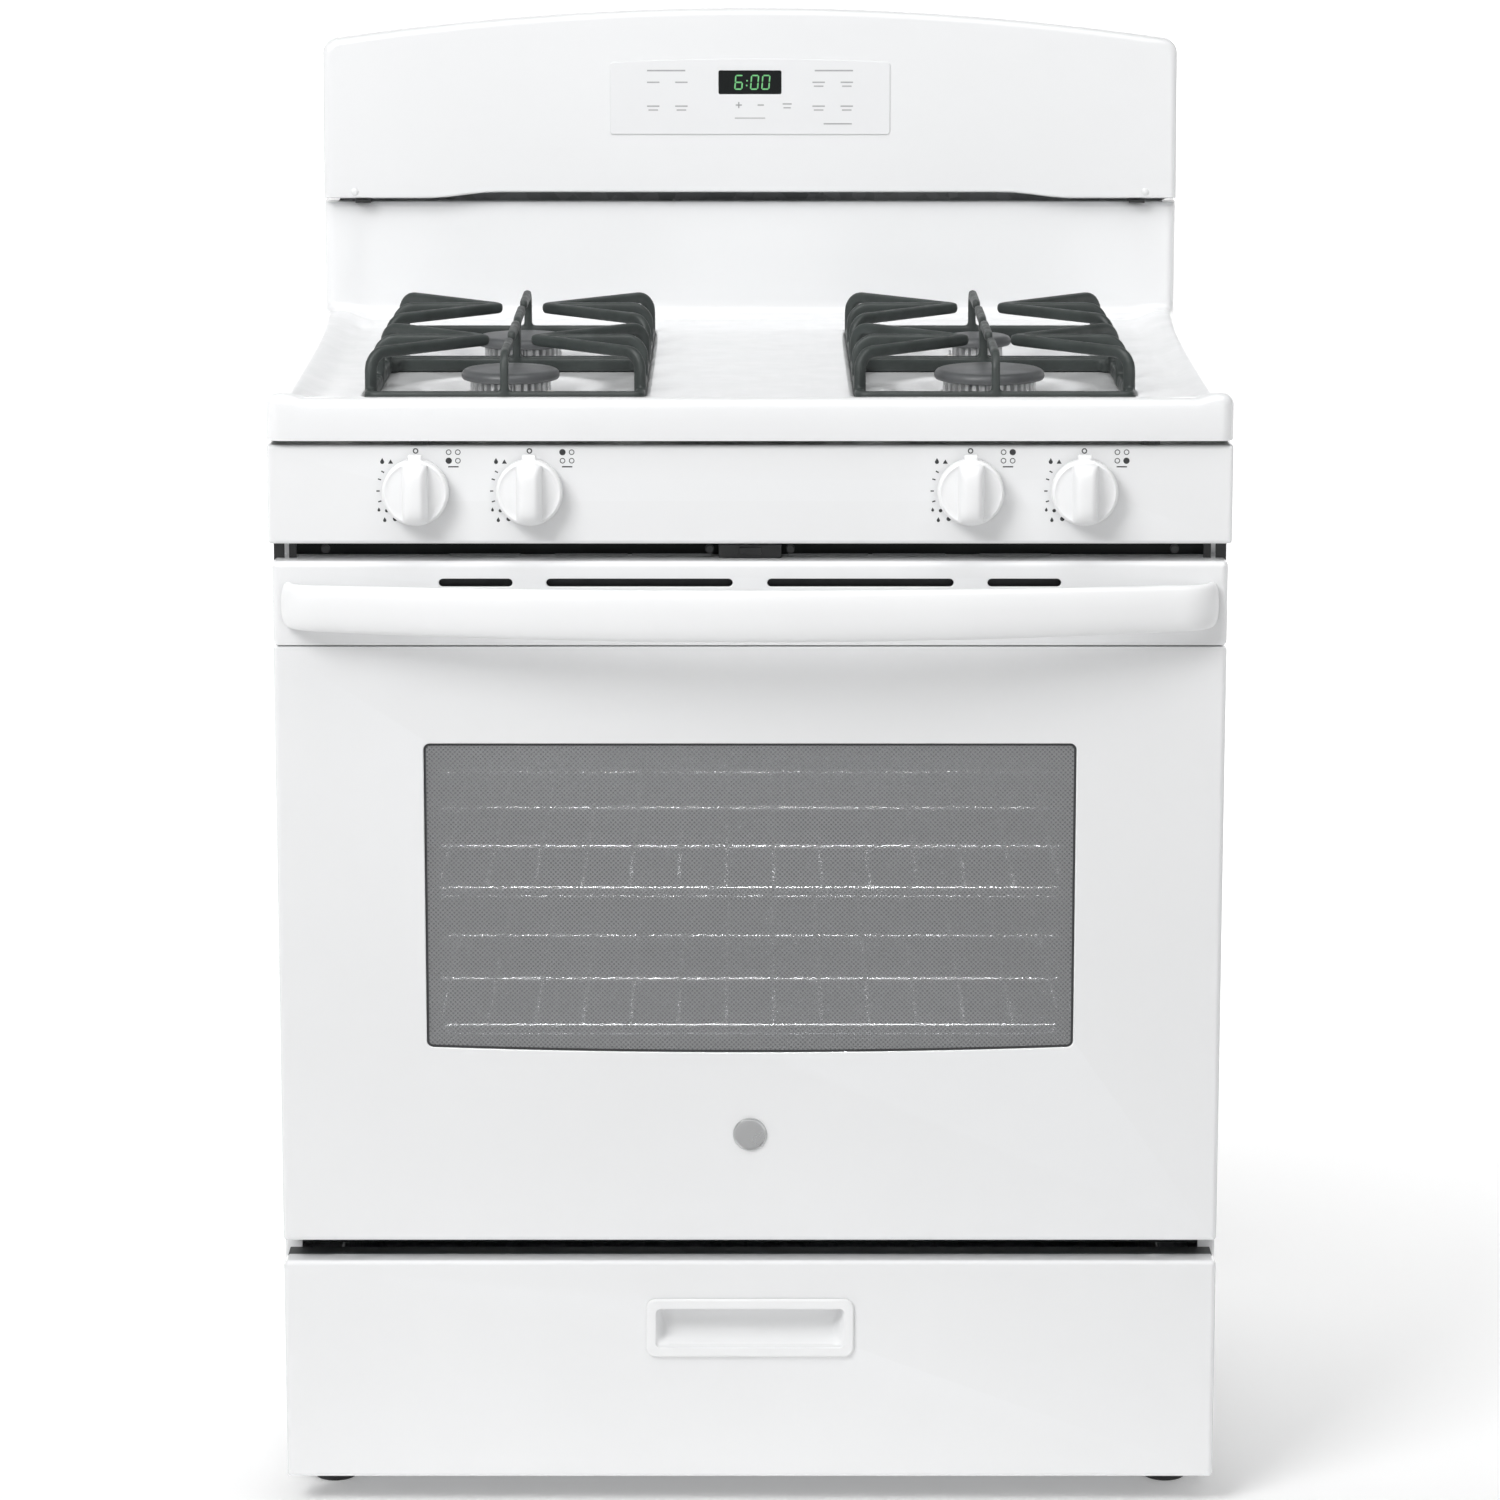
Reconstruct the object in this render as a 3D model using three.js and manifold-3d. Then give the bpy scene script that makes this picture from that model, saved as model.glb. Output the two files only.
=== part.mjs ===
// Freestanding gas range, 30 inches wide: four sealed burners, an oven with a drop-down door, a
// storage drawer and a backguard with the oven controls.
// Millimetres.  +X is right as seen from the front, -Y is the front, +Z is up.
// The origin is on the floor, in the middle of the width and of the depth.
import * as THREE from 'three';
import { mergeVertices } from 'three/addons/utils/BufferGeometryUtils.js';
import Module from 'manifold-3d';

const wasm = await Module();
wasm.setup();

// ---- Driving dimensions -------------------------------------------------------------------------
const WIDTH = 762;
const DEPTH = 720;              // front of the handle to the back of the rear cover
const HEIGHT = 1187;            // floor to the top of the backguard's arch
const SHEET = 1.5;              // sheet metal
const GAP = 0.3;                // between pieces that would touch
const HALF = WIDTH / 2;
const BACK = DEPTH / 2;
const FACE = -295;              // front plane of the door, the drawer and the knob panel
const FRAME = -252;             // front plane of the body behind the door
const BODY_BACK = 352;
const BODY_BASE = 26;
const BODY_TOP = 880;
const FLANGE = 14;              // folded edge of the side panels

const FOOT_X = 345;
const FOOT_Y = [-218, 318];
const BASE_Z = [27, 33];
const STUD_R = 4.7;

const OVEN_HALF = 301;          // inside of the oven liner
const OVEN_Z = [259.5, 710.5];
const OVEN_BACK = 228;
const OPENING_RIM = 13.5;       // width of the liner's rim round the oven mouth
const LEDGE = 8;
const RACK_PITCH = 57.5;
const RACK_LEVELS = 6;
const RACK_FIRST = 333.5;
const RACK_IN_USE = { lower_oven_rack: 1, upper_oven_rack: 3 };
const ROD_R = 3;
const OVEN_FLOOR = 284;

const HINGE_Y = -267;           // axis of the door's hinge pins
const HINGE_Z = 238.2;
const HINGE_X = 329;            // middle of each hinge lug
const PIN_R = 3.5;

const DOOR_HALF = 378.5;
const DOOR_Z = [226, 785];
const DOOR_SEAM = 717;          // between the door panel and its top trim
const DOOR_BACK = -257.5;
const WINDOW_HALF = 260;
const WINDOW_Z = [388.6, 638];
const WINDOW_SAG = 4.6;         // how far the window's lower edge bows down
const VENT_Z = 768;
const VENT_HEIGHT = 6.3;
const HANDLE_HALF = 370;
const HANDLE_Z = [731, 772];
const HANDLE_THICK = 15;
const HANDLE_BOW = 34;          // the middle stands this far in front of the ends

const DRAWER_Z = [25, 209];
const DRAWER_THICK = 20;
const PAN_HALF = 342;
const PAN_Z = [38, 185];
const PAN_BACK = 250;
const PULL = { width: 169, height: 49, z: 153, depth: 16, rim: 8, proud: 3 };

const PANEL_Z = [799, 878];     // knob panel
const KNOB_X = [-263.2, -173.6, 173.6, 263.2];
const KNOB_Z = 842;
const KNOB_R = 26.2;
const KNOB_DEPTH = 28;
const POINTER = 3.4;             // the pointer stands this far out of the knob's rim
const KNOB_TRAVEL = 3;
const SHAFT_R = 3.9;
const MANIFOLD_Y = -236;
const MANIFOLD_R = 10.5;

const TOP_Z = [882, 914];       // skirt of the cooktop and its rim
const TOP_FRONT = -300;
const DECK = 911;
const WELL_FLOOR = 903;
const BOWL_FLOOR = 892;
const BOWL_R = 88;
const RISER_Y = 270;
const RISER_TOP = 1015;
const BURNER_X = 195;
const BURNER_Y = [-149, 72];
const GRATE_WIDTH = 223.5;
const GRATE_DEPTH = 219;
const GRATE_TOP = 948;
const BAR = 8;                  // width of a grate bar

const GUARD_HALF = 380;
const GUARD_BASE = 1022;
const GUARD_SHOULDER = 1161;
const GUARD_CORNER = 14;
const GUARD_Y = 253;            // front face at its lower edge
const GUARD_LEAN = 15;          // how far the face falls back from its foot to its top

// ---- Finishes -----------------------------------------------------------------------------------
const ENAMEL = { color: 0xeff0f1, roughness: 0.25, metalness: 0 };
const DARK_ENAMEL = { color: 0x33363a, roughness: 0.35, metalness: 0 };
const CAST_IRON = { color: 0x3c4241, roughness: 0.6, metalness: 0.1 };
const CAP_ENAMEL = { color: 0x5c6063, roughness: 0.45, metalness: 0.1 };
const GALVANISED = { color: 0xa9acae, roughness: 0.5, metalness: 0.8 };
const BRIGHT_WIRE = { color: 0xc9cccf, roughness: 0.25, metalness: 1 };
const ALUMINIUM = { color: 0xb9bcbf, roughness: 0.4, metalness: 0.9 };
const BRASS = { color: 0xb08d4a, roughness: 0.4, metalness: 0.9 };
const WHITE_PLASTIC = { color: 0xf2f3f3, roughness: 0.35, metalness: 0 };
const DARK_PLASTIC = { color: 0x1a1c1e, roughness: 0.3, metalness: 0 };
const PRINTED_GLASS = { color: 0x84878a, roughness: 0.1, metalness: 0 };
const CLEAR_GLASS = { color: 0x9aa3a5, roughness: 0.05, metalness: 0 };
const FIBRE = { color: 0x77797a, roughness: 0.95, metalness: 0 };

// ---- Solids -------------------------------------------------------------------------------------
const range = new THREE.Group();

function solid(geometry) {
  const bare = geometry.index ? geometry : geometry.clone();
  bare.deleteAttribute('normal');
  bare.deleteAttribute('uv');
  const merged = mergeVertices(bare, 1e-4);
  return new wasm.Manifold(new wasm.Mesh({
    numProp: 3,
    vertProperties: merged.attributes.position.array,
    triVerts: new Uint32Array(merged.index.array),
  }));
}

function geometryOf(shape) {
  const mesh = shape.getMesh();
  const geometry = new THREE.BufferGeometry();
  geometry.setAttribute('position', new THREE.BufferAttribute(mesh.vertProperties, 3));
  geometry.setIndex(new THREE.BufferAttribute(mesh.triVerts, 1));
  geometry.computeVertexNormals();
  return geometry;
}

function add(name, shape, finish, parent = range) {
  const mesh = new THREE.Mesh(geometryOf(shape), new THREE.MeshStandardMaterial(finish));
  mesh.name = name;
  parent.add(mesh);
  return mesh;
}

function block(x, y, z) {
  const size = [x, y, z].map(([low, high]) => Math.abs(high - low));
  const geometry = new THREE.BoxGeometry(...size);
  geometry.translate((x[0] + x[1]) / 2, (y[0] + y[1]) / 2, (z[0] + z[1]) / 2);
  return solid(geometry);
}

const round = (half, low, high, radius) => {
  const shape = new THREE.Shape();
  shape.absarc(half - radius, low + radius, radius, -Math.PI / 2, 0);
  shape.absarc(half - radius, high - radius, radius, 0, Math.PI / 2);
  shape.absarc(radius - half, high - radius, radius, Math.PI / 2, Math.PI);
  shape.absarc(radius - half, low + radius, radius, Math.PI, 1.5 * Math.PI);
  return shape;
};

const polygon = (points) => new THREE.Shape(points.map(([a, b]) => new THREE.Vector2(a, b)));

function extrude(shape, length, curveSegments) {
  return new THREE.ExtrudeGeometry(shape, { depth: length, bevelEnabled: false, curveSegments });
}

// The outline is drawn in X and Y, and runs up Z.
function prismZ(shape, [low, high], segments = 3) {
  return solid(extrude(shape, high - low, segments).translate(0, 0, low));
}

// The outline is drawn in X and Z, and runs along Y.
function prismY(shape, [low, high], segments = 3) {
  return solid(extrude(shape, high - low, segments).rotateX(Math.PI / 2).translate(0, high, 0));
}

// The outline is drawn in Y and Z, and runs along X.
function prismX(shape, [low, high], segments = 3) {
  const turn = new THREE.Matrix4().makeBasis(
    new THREE.Vector3(0, 1, 0),
    new THREE.Vector3(0, 0, 1),
    new THREE.Vector3(1, 0, 0),
  );
  return solid(extrude(shape, high - low, segments).applyMatrix4(turn).translate(low, 0, 0));
}

function rod(from, to, radius, sides) {
  const start = new THREE.Vector3(...from);
  const along = new THREE.Vector3(...to).sub(start);
  const geometry = new THREE.CylinderGeometry(radius, radius, along.length(), sides);
  const up = new THREE.Vector3(0, 1, 0);
  geometry.applyQuaternion(new THREE.Quaternion().setFromUnitVectors(up, along.clone().normalize()));
  geometry.translate(...start.addScaledVector(along, 0.5).toArray());
  return solid(geometry);
}

// The profile is [radius, z] and turns about the Z axis.
function turned(profile, sides) {
  const points = profile.map(([radius, z]) => new THREE.Vector2(radius, z));
  return solid(new THREE.LatheGeometry(points, sides).rotateX(Math.PI / 2));
}

// The same, with the profile's second number counted forwards, along -Y.
function turnedForwards(profile, sides) {
  const points = profile.map(([radius, out]) => new THREE.Vector2(radius, out));
  return solid(new THREE.LatheGeometry(points, sides).rotateX(Math.PI));
}

function sweep(points, radius, sides, steps) {
  const path = new THREE.CatmullRomCurve3(points.map((p) => new THREE.Vector3(...p)));
  const section = new THREE.Shape().absarc(0, 0, radius, 0, 2 * Math.PI);
  return solid(new THREE.ExtrudeGeometry(section, {
    steps,
    curveSegments: sides / 2,
    bevelEnabled: false,
    extrudePath: path,
  }));
}

const union = (shapes) => shapes.reduce((whole, next) => whole.add(next));
const SIDES = [['left', -1], ['right', 1]];

// ---- Body ---------------------------------------------------------------------------------------
function sidePanel(side) {
  const outer = side * HALF;
  const inner = side * (HALF - SHEET);
  const lip = side * (HALF - FLANGE);
  const outline = polygon([
    [outer, FRAME],
    [outer, BODY_BACK],
    [lip, BODY_BACK],
    [lip, BODY_BACK - SHEET],
    [inner, BODY_BACK - SHEET],
    [inner, FRAME + SHEET],
    [lip, FRAME + SHEET],
    [lip, FRAME],
  ]);
  return prismZ(outline, [BODY_BASE, BODY_TOP]);
}

function rearPanel() {
  const front = BODY_BACK + GAP;
  return block([-HALF + 1, HALF - 1], [front, front + SHEET], [150, BODY_TOP - 2]);
}

function baseFrame() {
  const side = HALF - 2;
  const front = FRAME + SHEET + GAP;
  const back = BODY_BACK - SHEET - GAP;
  const rail = 54;
  const plate = block([-side, side], [front, back], BASE_Z);
  const middle = block([rail - side, side - rail], [front + rail, back - rail], [0, 60]);
  const holes = [-FOOT_X, FOOT_X].flatMap((x) => FOOT_Y.map((y) => (
    rod([x, y, 20], [x, y, 40], STUD_R + 0.6, 12))));
  return plate.subtract(middle).subtract(union(holes));
}

function foot() {
  return turned([
    [0, 0],
    [18, 0],
    [18, 6],
    [8, 10],
    [8, BASE_Z[0] - GAP],
    [STUD_R, BASE_Z[0] - GAP],
    [STUD_R, BASE_Z[1] + 3],
    [0, BASE_Z[1] + 3],
  ], 12);
}

function frontFrame() {
  const half = HALF - FLANGE - 0.4;
  const mouth = OVEN_HALF + SHEET + GAP;
  const plate = block([-half, half], [FRAME, FRAME + SHEET], [212, 797]);
  const opening = block(
    [-mouth, mouth],
    [FRAME - 1, FRAME + 3],
    [OVEN_Z[0] - SHEET - GAP, OVEN_Z[1] + SHEET + GAP],
  );
  const lugs = SIDES.flatMap(([, side]) => [
    block([side * (HINGE_X - 3), side * (HINGE_X + 3)], [HINGE_Y - 8, FRAME + SHEET],
      [HINGE_Z - 8, HINGE_Z + 8]),
    rod([side * (HINGE_X - 11), HINGE_Y, HINGE_Z], [side * (HINGE_X + 9), HINGE_Y, HINGE_Z], PIN_R, 16),
  ]);
  return plate.subtract(opening).add(union(lugs));
}

// ---- Oven ---------------------------------------------------------------------------------------
const rackZ = (level) => RACK_FIRST + level * RACK_PITCH;

function ovenLiner() {
  const rimFront = FRAME - GAP - SHEET;
  const outer = OVEN_HALF + SHEET;
  const box = block([-outer, outer], [rimFront, OVEN_BACK + SHEET], [OVEN_Z[0] - SHEET, OVEN_Z[1] + SHEET]);
  const rim = block(
    [-outer - OPENING_RIM, outer + OPENING_RIM],
    [rimFront, rimFront + SHEET],
    [OVEN_Z[0] - OPENING_RIM, OVEN_Z[1] + OPENING_RIM],
  );
  const hollow = block([-OVEN_HALF, OVEN_HALF], [rimFront - 1, OVEN_BACK], OVEN_Z);
  const ledgeTops = [OVEN_FLOOR - GAP];
  for (let level = 0; level < RACK_LEVELS; level += 1) ledgeTops.push(rackZ(level) - ROD_R - GAP);
  const ledges = ledgeTops.flatMap((top) => SIDES.map(([, side]) => (
    block([side * (OVEN_HALF - LEDGE), side * (OVEN_HALF + 1)], [FRAME + 14, OVEN_BACK - 6], [top - 4, top]))));
  const flueHole = block([-FLUE_HALF + 2, FLUE_HALF - 2], [FLUE_FOOT[0] + 2, FLUE_FOOT[1] - 2], [700, 720]);
  return box.add(rim).subtract(hollow).add(union(ledges)).subtract(flueHole);
}

function gasket() {
  const middle = OVEN_HALF + 8;
  const width = 4;
  const ring = (grow) => block(
    [-middle - grow, middle + grow],
    [DOOR_BACK + GAP, FRAME - 2 * GAP - SHEET],
    [OVEN_Z[0] - 6.5 - grow, OVEN_Z[1] + 6.5 + grow],
  );
  const cut = block(
    [width - middle, middle - width],
    [DOOR_BACK - 5, FRAME + 5],
    [OVEN_Z[0] - 6.5 + width, OVEN_Z[1] + 6.5 - width],
  );
  return ring(width).subtract(cut);
}

function ovenFloor() {
  const half = OVEN_HALF - 3;
  const plate = block([-half, half], [FRAME + 8, OVEN_BACK - 5], [OVEN_FLOOR, OVEN_FLOOR + SHEET]);
  const slots = SIDES.flatMap(([, side]) => [-150, 0, 150].map((y) => (
    block([side * (half - 30), side * (half - 42)], [y - 45, y + 45], [OVEN_FLOOR - 5, OVEN_FLOOR + 5]))));
  return plate.subtract(union(slots));
}

function rack(z) {
  const half = OVEN_HALF - LEDGE / 2 - 1;
  const front = FRAME + 16;
  const back = OVEN_BACK - 14;
  const wires = 14;
  const pitch = 39;
  const across = [front, (front + back) / 2, back].map((y) => (
    rod([-half, y, z], [half, y, z], ROD_R, 6)));
  const runners = [-half, half].map((x) => rod([x, front - ROD_R, z], [x, back + ROD_R, z], ROD_R, 6));
  const bars = [];
  for (let i = 0; i < wires; i += 1) {
    const x = (i - (wires - 1) / 2) * pitch;
    bars.push(rod([x, front, z], [x, back, z], 2, 4));
  }
  return union([...across, ...runners, ...bars]);
}

const FLUE_HALF = 70;
const FLUE_FOOT = [180, 226];
const FLUE_HEAD = [286, 330];

function flue() {
  const foot = OVEN_Z[1] + SHEET + GAP;
  const outline = (inset, spill) => polygon([
    [FLUE_FOOT[0] + inset, foot - spill],
    [FLUE_FOOT[1] - inset, foot - spill],
    [FLUE_FOOT[1] - inset, 760 + inset],
    [FLUE_HEAD[1] - inset, 850 + inset],
    [FLUE_HEAD[1] - inset, RISER_TOP - 3 + spill],
    [FLUE_HEAD[0] + inset, RISER_TOP - 3 + spill],
    [FLUE_HEAD[0] + inset, 872 - inset],
    [FLUE_FOOT[0] + inset, 782 - inset],
  ]);
  const outer = prismX(outline(0, 0), [-FLUE_HALF, FLUE_HALF]);
  return outer.subtract(prismX(outline(SHEET, 5), [SHEET - FLUE_HALF, FLUE_HALF - SHEET]));
}

// ---- Gas ----------------------------------------------------------------------------------------
function manifold() {
  const end = 335;
  const pipe = rod([-end, MANIFOLD_Y, KNOB_Z], [end, MANIFOLD_Y, KNOB_Z], MANIFOLD_R, 12);
  const supply = sweep([
    [end - 15, MANIFOLD_Y, KNOB_Z],
    [end + 8, MANIFOLD_Y + 16, KNOB_Z],
    [end + 10, MANIFOLD_Y + 60, KNOB_Z],
    [end + 10, 100, KNOB_Z],
    [end + 10, 290, KNOB_Z],
    [end + 10, 322, KNOB_Z - 12],
    [end + 10, 330, KNOB_Z - 60],
    [end + 10, 330, 400],
    [end + 10, 326, 200],
    [end + 10, 326, 160],
    [end + 10, 326, REGULATOR_TOP + 2 * GAP],
  ], 5, 6, 26);
  return pipe.add(supply);
}

const REGULATOR_TOP = 118;

function regulator() {
  const x = 345;
  const y = 322;
  const z = 92;
  const body = block([x - 18, x + 18], [y - 20, y + 16], [z - 20, z + 18]);
  const dome = rod([x - 40, y - 2, z], [x - 10, y - 2, z], 24, 16);
  const neck = rod([x, y + 4, z], [x, y + 4, REGULATOR_TOP], 8, 12);
  const boss = rod([x, y, z], [x, y + 27, z], 15, 12);
  const bore = rod([x, y + 8, z], [x, y + 40, z], 8, 12);
  return union([body, dome, neck, boss]).subtract(bore);
}

const VALVE_FRONT = -281;

function valveBody() {
  const back = MANIFOLD_Y - MANIFOLD_R - 0.5;
  const body = block([-12, 12], [-275, back], [-14, 14]);
  const nose = rod([0, VALVE_FRONT, 0], [0, -270, 0], 11, 14);
  const outlet = rod([0, -261, 8], [0, -261, 24], 6, 10);
  const bore = rod([0, VALVE_FRONT - 2, 0], [0, -257, 0], 6.2, 14);
  return union([body, nose, outlet]).subtract(bore);
}

// A round shaft along Y with a flat on its upper side.
function flattedShaft(radius, y, flat) {
  const shaft = rod([0, y[0], 0], [0, y[1], 0], radius, 12);
  return shaft.subtract(block([-radius * 2, radius * 2], y, [flat, radius * 2]));
}

function valveStem() {
  const plug = rod([0, VALVE_FRONT, 0], [0, -257.5, 0], 5.6, 14);
  return plug.add(flattedShaft(SHAFT_R, [FACE - 18, VALVE_FRONT + 2], SHAFT_R * 0.6));
}

function knob() {
  const back = KNOB_TRAVEL + 1;
  const disc = turnedForwards([
    [0, back],
    [KNOB_R, back],
    [KNOB_R, back + 8],
    [KNOB_R - 3, back + 16],
    [0, back + 16],
  ], 20);
  const ridge = block([-9.3, 9.3], [-back - 8, -back - KNOB_DEPTH], [-24.5, 24.5]);
  const pointer = block([-5.5, 5.5], [-back - 1, -back - 7], [KNOB_R - 3, KNOB_R + POINTER]);
  const bore = flattedShaft(SHAFT_R + 0.3, [-19 - KNOB_TRAVEL, 0], SHAFT_R * 0.6 + 0.3);
  return disc.add(ridge).add(pointer).subtract(bore);
}

function knobPanel() {
  const outer = block([-HALF, HALF], [FACE, FRAME - GAP], PANEL_Z);
  const hollow = block(
    [SHEET - HALF, HALF - SHEET],
    [FACE + SHEET, FRAME + 5],
    [PANEL_Z[0] + SHEET, PANEL_Z[1] - SHEET],
  );
  const holes = KNOB_X.map((x) => rod([x, FACE - 5, KNOB_Z], [x, FACE + 5, KNOB_Z], 7.5, 16));
  return outer.subtract(hollow).subtract(union(holes));
}

// ---- Cooktop ------------------------------------------------------------------------------------
function cooktop() {
  const wellHalf = GRATE_WIDTH / 2 + 2.2;
  const wellY = [BURNER_Y[0] - GRATE_DEPTH / 2 - 3, BURNER_Y[1] + GRATE_DEPTH / 2 + 3];
  const inside = HALF - SHEET;
  const riserBack = BACK - 4;
  const box = block([-HALF, HALF], [TOP_FRONT, RISER_Y + SHEET], TOP_Z);
  const riser = block([-HALF, HALF], [RISER_Y, riserBack], [TOP_Z[0], RISER_TOP]);
  const dip = prismZ(round(HALF - 26, TOP_FRONT + 24, RISER_Y - 4, 20), [DECK, TOP_Z[1] + 1]);
  const under = block([-inside, inside], [TOP_FRONT + SHEET, RISER_Y], [TOP_Z[0] - 1, DECK - SHEET]);
  const behind = block([-inside, inside], [RISER_Y + SHEET, riserBack + 1], [TOP_Z[0] - 1, RISER_TOP + 1]);
  const foot = block([-inside, inside], [RISER_Y - 1, RISER_Y + SHEET + 1], [TOP_Z[0] - 1, DECK - SHEET]);
  const shell = box.add(riser).subtract(dip).subtract(under).subtract(behind).subtract(foot);
  const trays = [];
  const cuts = [];
  for (const side of [-1, 1]) {
    const well = (grow, z) => prismZ(
      round(wellHalf + grow, wellY[0] - grow, wellY[1] + grow, 16 + grow), z,
    ).translate([side * BURNER_X, 0, 0]);
    trays.push(well(SHEET, [WELL_FLOOR - SHEET, DECK - SHEET / 2]));
    cuts.push(well(0, [WELL_FLOOR, DECK + 5]));
    for (const y of BURNER_Y) {
      const place = [side * BURNER_X, y, 0];
      const low = BOWL_FLOOR - SHEET;
      trays.push(turned([[0, low], [62, low], [BOWL_R + 2, WELL_FLOOR], [0, WELL_FLOOR]], BOWL_SIDES).translate(place));
      cuts.push(turned([
        [0, BOWL_FLOOR], [60, BOWL_FLOOR], [BOWL_R, WELL_FLOOR + 0.01], [0, WELL_FLOOR + 0.01],
      ], BOWL_SIDES).translate(place));
      cuts.push(rod([...place.slice(0, 2), low - 5], [...place.slice(0, 2), WELL_FLOOR], 22, 12));
    }
  }
  return shell.add(union(trays)).subtract(union(cuts));
}

const BOWL_SIDES = 16;

const BURNERS = [
  { name: 'left_front', x: -BURNER_X, y: BURNER_Y[0], cap: 40 },
  { name: 'left_rear', x: -BURNER_X, y: BURNER_Y[1], cap: 40 },
  { name: 'right_rear', x: BURNER_X, y: BURNER_Y[1], cap: 29 },
  { name: 'right_front', x: BURNER_X, y: BURNER_Y[0], cap: 45 },
];
const HEAD_TOP = 911;

function burnerHead(capRadius) {
  const crown = capRadius - 5;
  const seat = BOWL_FLOOR + GAP;
  return turned([
    [15, 868],
    [19, 868],
    [19, seat],
    [crown, seat],
    [crown, HEAD_TOP],
    [crown - 5, HEAD_TOP],
    [crown - 5, seat + 5],
    [15, seat + 4],
    [15, 868],
  ], 16);
}

function burnerCap(radius) {
  const low = HEAD_TOP + GAP;
  return turned([
    [0, low],
    [radius - 2, low],
    [radius, low + 2],
    [radius, low + 5],
    [radius - 3, low + 9],
    [0, low + 9],
  ], 20);
}

// One finger in its own plane: up from the base rail, round a shoulder and level to its nose.
function finger(reach, width) {
  const low = WELL_FLOOR + GAP;
  const side = new THREE.Shape();
  side.moveTo(0, low);
  side.lineTo(9, low);
  side.lineTo(9, GRATE_TOP - 20);
  side.absarc(19, GRATE_TOP - 20, 10, Math.PI, Math.PI / 2, true);
  side.lineTo(reach, GRATE_TOP - 10);
  side.lineTo(reach, GRATE_TOP);
  side.lineTo(19, GRATE_TOP);
  side.absarc(19, GRATE_TOP - 19, 19, Math.PI / 2, Math.PI, false);
  return prismY(side, [-width / 2, width / 2], 2);
}

function grate() {
  const low = WELL_FLOOR + GAP;
  const halfX = GRATE_WIDTH / 2;
  const halfY = GRATE_DEPTH / 2 - 0.4;
  const frame = prismZ(round(halfX, -halfY, halfY, 12), [low, low + 12], 1);
  const hole = prismZ(round(halfX - BAR, BAR - halfY, halfY - BAR, 5), [low - 1, low + 14], 1);
  const nose = 18;                // distance of each nose from the burner's centre
  const spread = 85;              // the outer fingers of a fan start this far from the middle one
  const fingers = [];
  for (const side of [-1, 1]) {
    for (const offset of [-spread, 0, spread]) {
      const run = halfX - nose;
      const reach = Math.hypot(run, offset);
      const turn = THREE.MathUtils.radToDeg(Math.atan2(-offset, run));
      const bar = finger(reach, BAR).rotate([0, 0, turn]).translate([-halfX, offset, 0]);
      fingers.push(side < 0 ? bar : bar.rotate([0, 0, 180]));
    }
    const turn = side < 0 ? 90 : -90;
    fingers.push(finger(halfY - nose, BAR - 1.5).rotate([0, 0, turn]).translate([0, side * halfY, 0]));
  }
  const outside = prismZ(round(halfX, -halfY, halfY, 12), [low, GRATE_TOP + 1], 1);
  return frame.subtract(hole).add(union(fingers)).intersect(outside);
}

// ---- Backguard ----------------------------------------------------------------------------------
function guardOutline(inset, foot) {
  const half = GUARD_HALF - inset;
  const corner = GUARD_CORNER - inset / 2;
  const shoulder = GUARD_SHOULDER - inset;
  const rise = HEIGHT - GUARD_SHOULDER;
  const chord = half - corner;
  const radius = (chord * chord + rise * rise) / (2 * rise);
  const sweepAngle = Math.asin(chord / radius);
  const outline = new THREE.Shape();
  outline.moveTo(-half, foot);
  outline.lineTo(half, foot);
  outline.absarc(half - corner, shoulder - corner, corner, 0, Math.PI / 2);
  const centre = HEIGHT - inset - radius;
  outline.absarc(0, centre, radius, Math.PI / 2 - sweepAngle, Math.PI / 2 + sweepAngle);
  outline.absarc(corner - half, shoulder - corner, corner, Math.PI / 2, Math.PI);
  return outline;
}

const leanAt = (z) => (GUARD_LEAN * (z - GUARD_BASE)) / (HEIGHT - GUARD_BASE);

function guardBody(inset, foot, back) {
  const face = polygon([
    [GUARD_Y + inset + leanAt(foot), foot],
    [back, foot],
    [back, HEIGHT + 10],
    [GUARD_Y + inset + leanAt(HEIGHT + 10), HEIGHT + 10],
  ]);
  const wide = prismY(guardOutline(inset, foot), [GUARD_Y - 20, back], 8);
  return wide.intersect(prismX(face, [-HALF, HALF]));
}

function guardShell() {
  const back = BACK - SHEET - 0.5;
  return guardBody(0, GUARD_BASE, back).subtract(guardBody(SHEET, GUARD_BASE + SHEET, back + 1));
}

function rearCover() {
  return prismY(guardOutline(4, TOP_Z[0] + 2), [BACK - SHEET, BACK], 8);
}

const OVERLAY = { half: 124.5, low: 1076, high: 1143, arch: 3 };

function overlay() {
  const middle = (OVERLAY.low + OVERLAY.high) / 2;
  const bottom = OVERLAY.low - middle;
  const top = OVERLAY.high - middle - OVERLAY.arch;
  const outline = new THREE.Shape();
  outline.moveTo(-OVERLAY.half, bottom);
  outline.lineTo(OVERLAY.half, bottom);
  outline.lineTo(OVERLAY.half, top);
  outline.quadraticCurveTo(0, top + 2 * OVERLAY.arch, -OVERLAY.half, top);
  return prismY(outline, [-1 - GAP, -GAP], 8);
}

function placeOnGuard(mesh, z) {
  mesh.rotation.x = -Math.atan2(GUARD_LEAN, HEIGHT - GUARD_BASE);
  mesh.position.set(0, GUARD_Y + leanAt(z), z);
}

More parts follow.
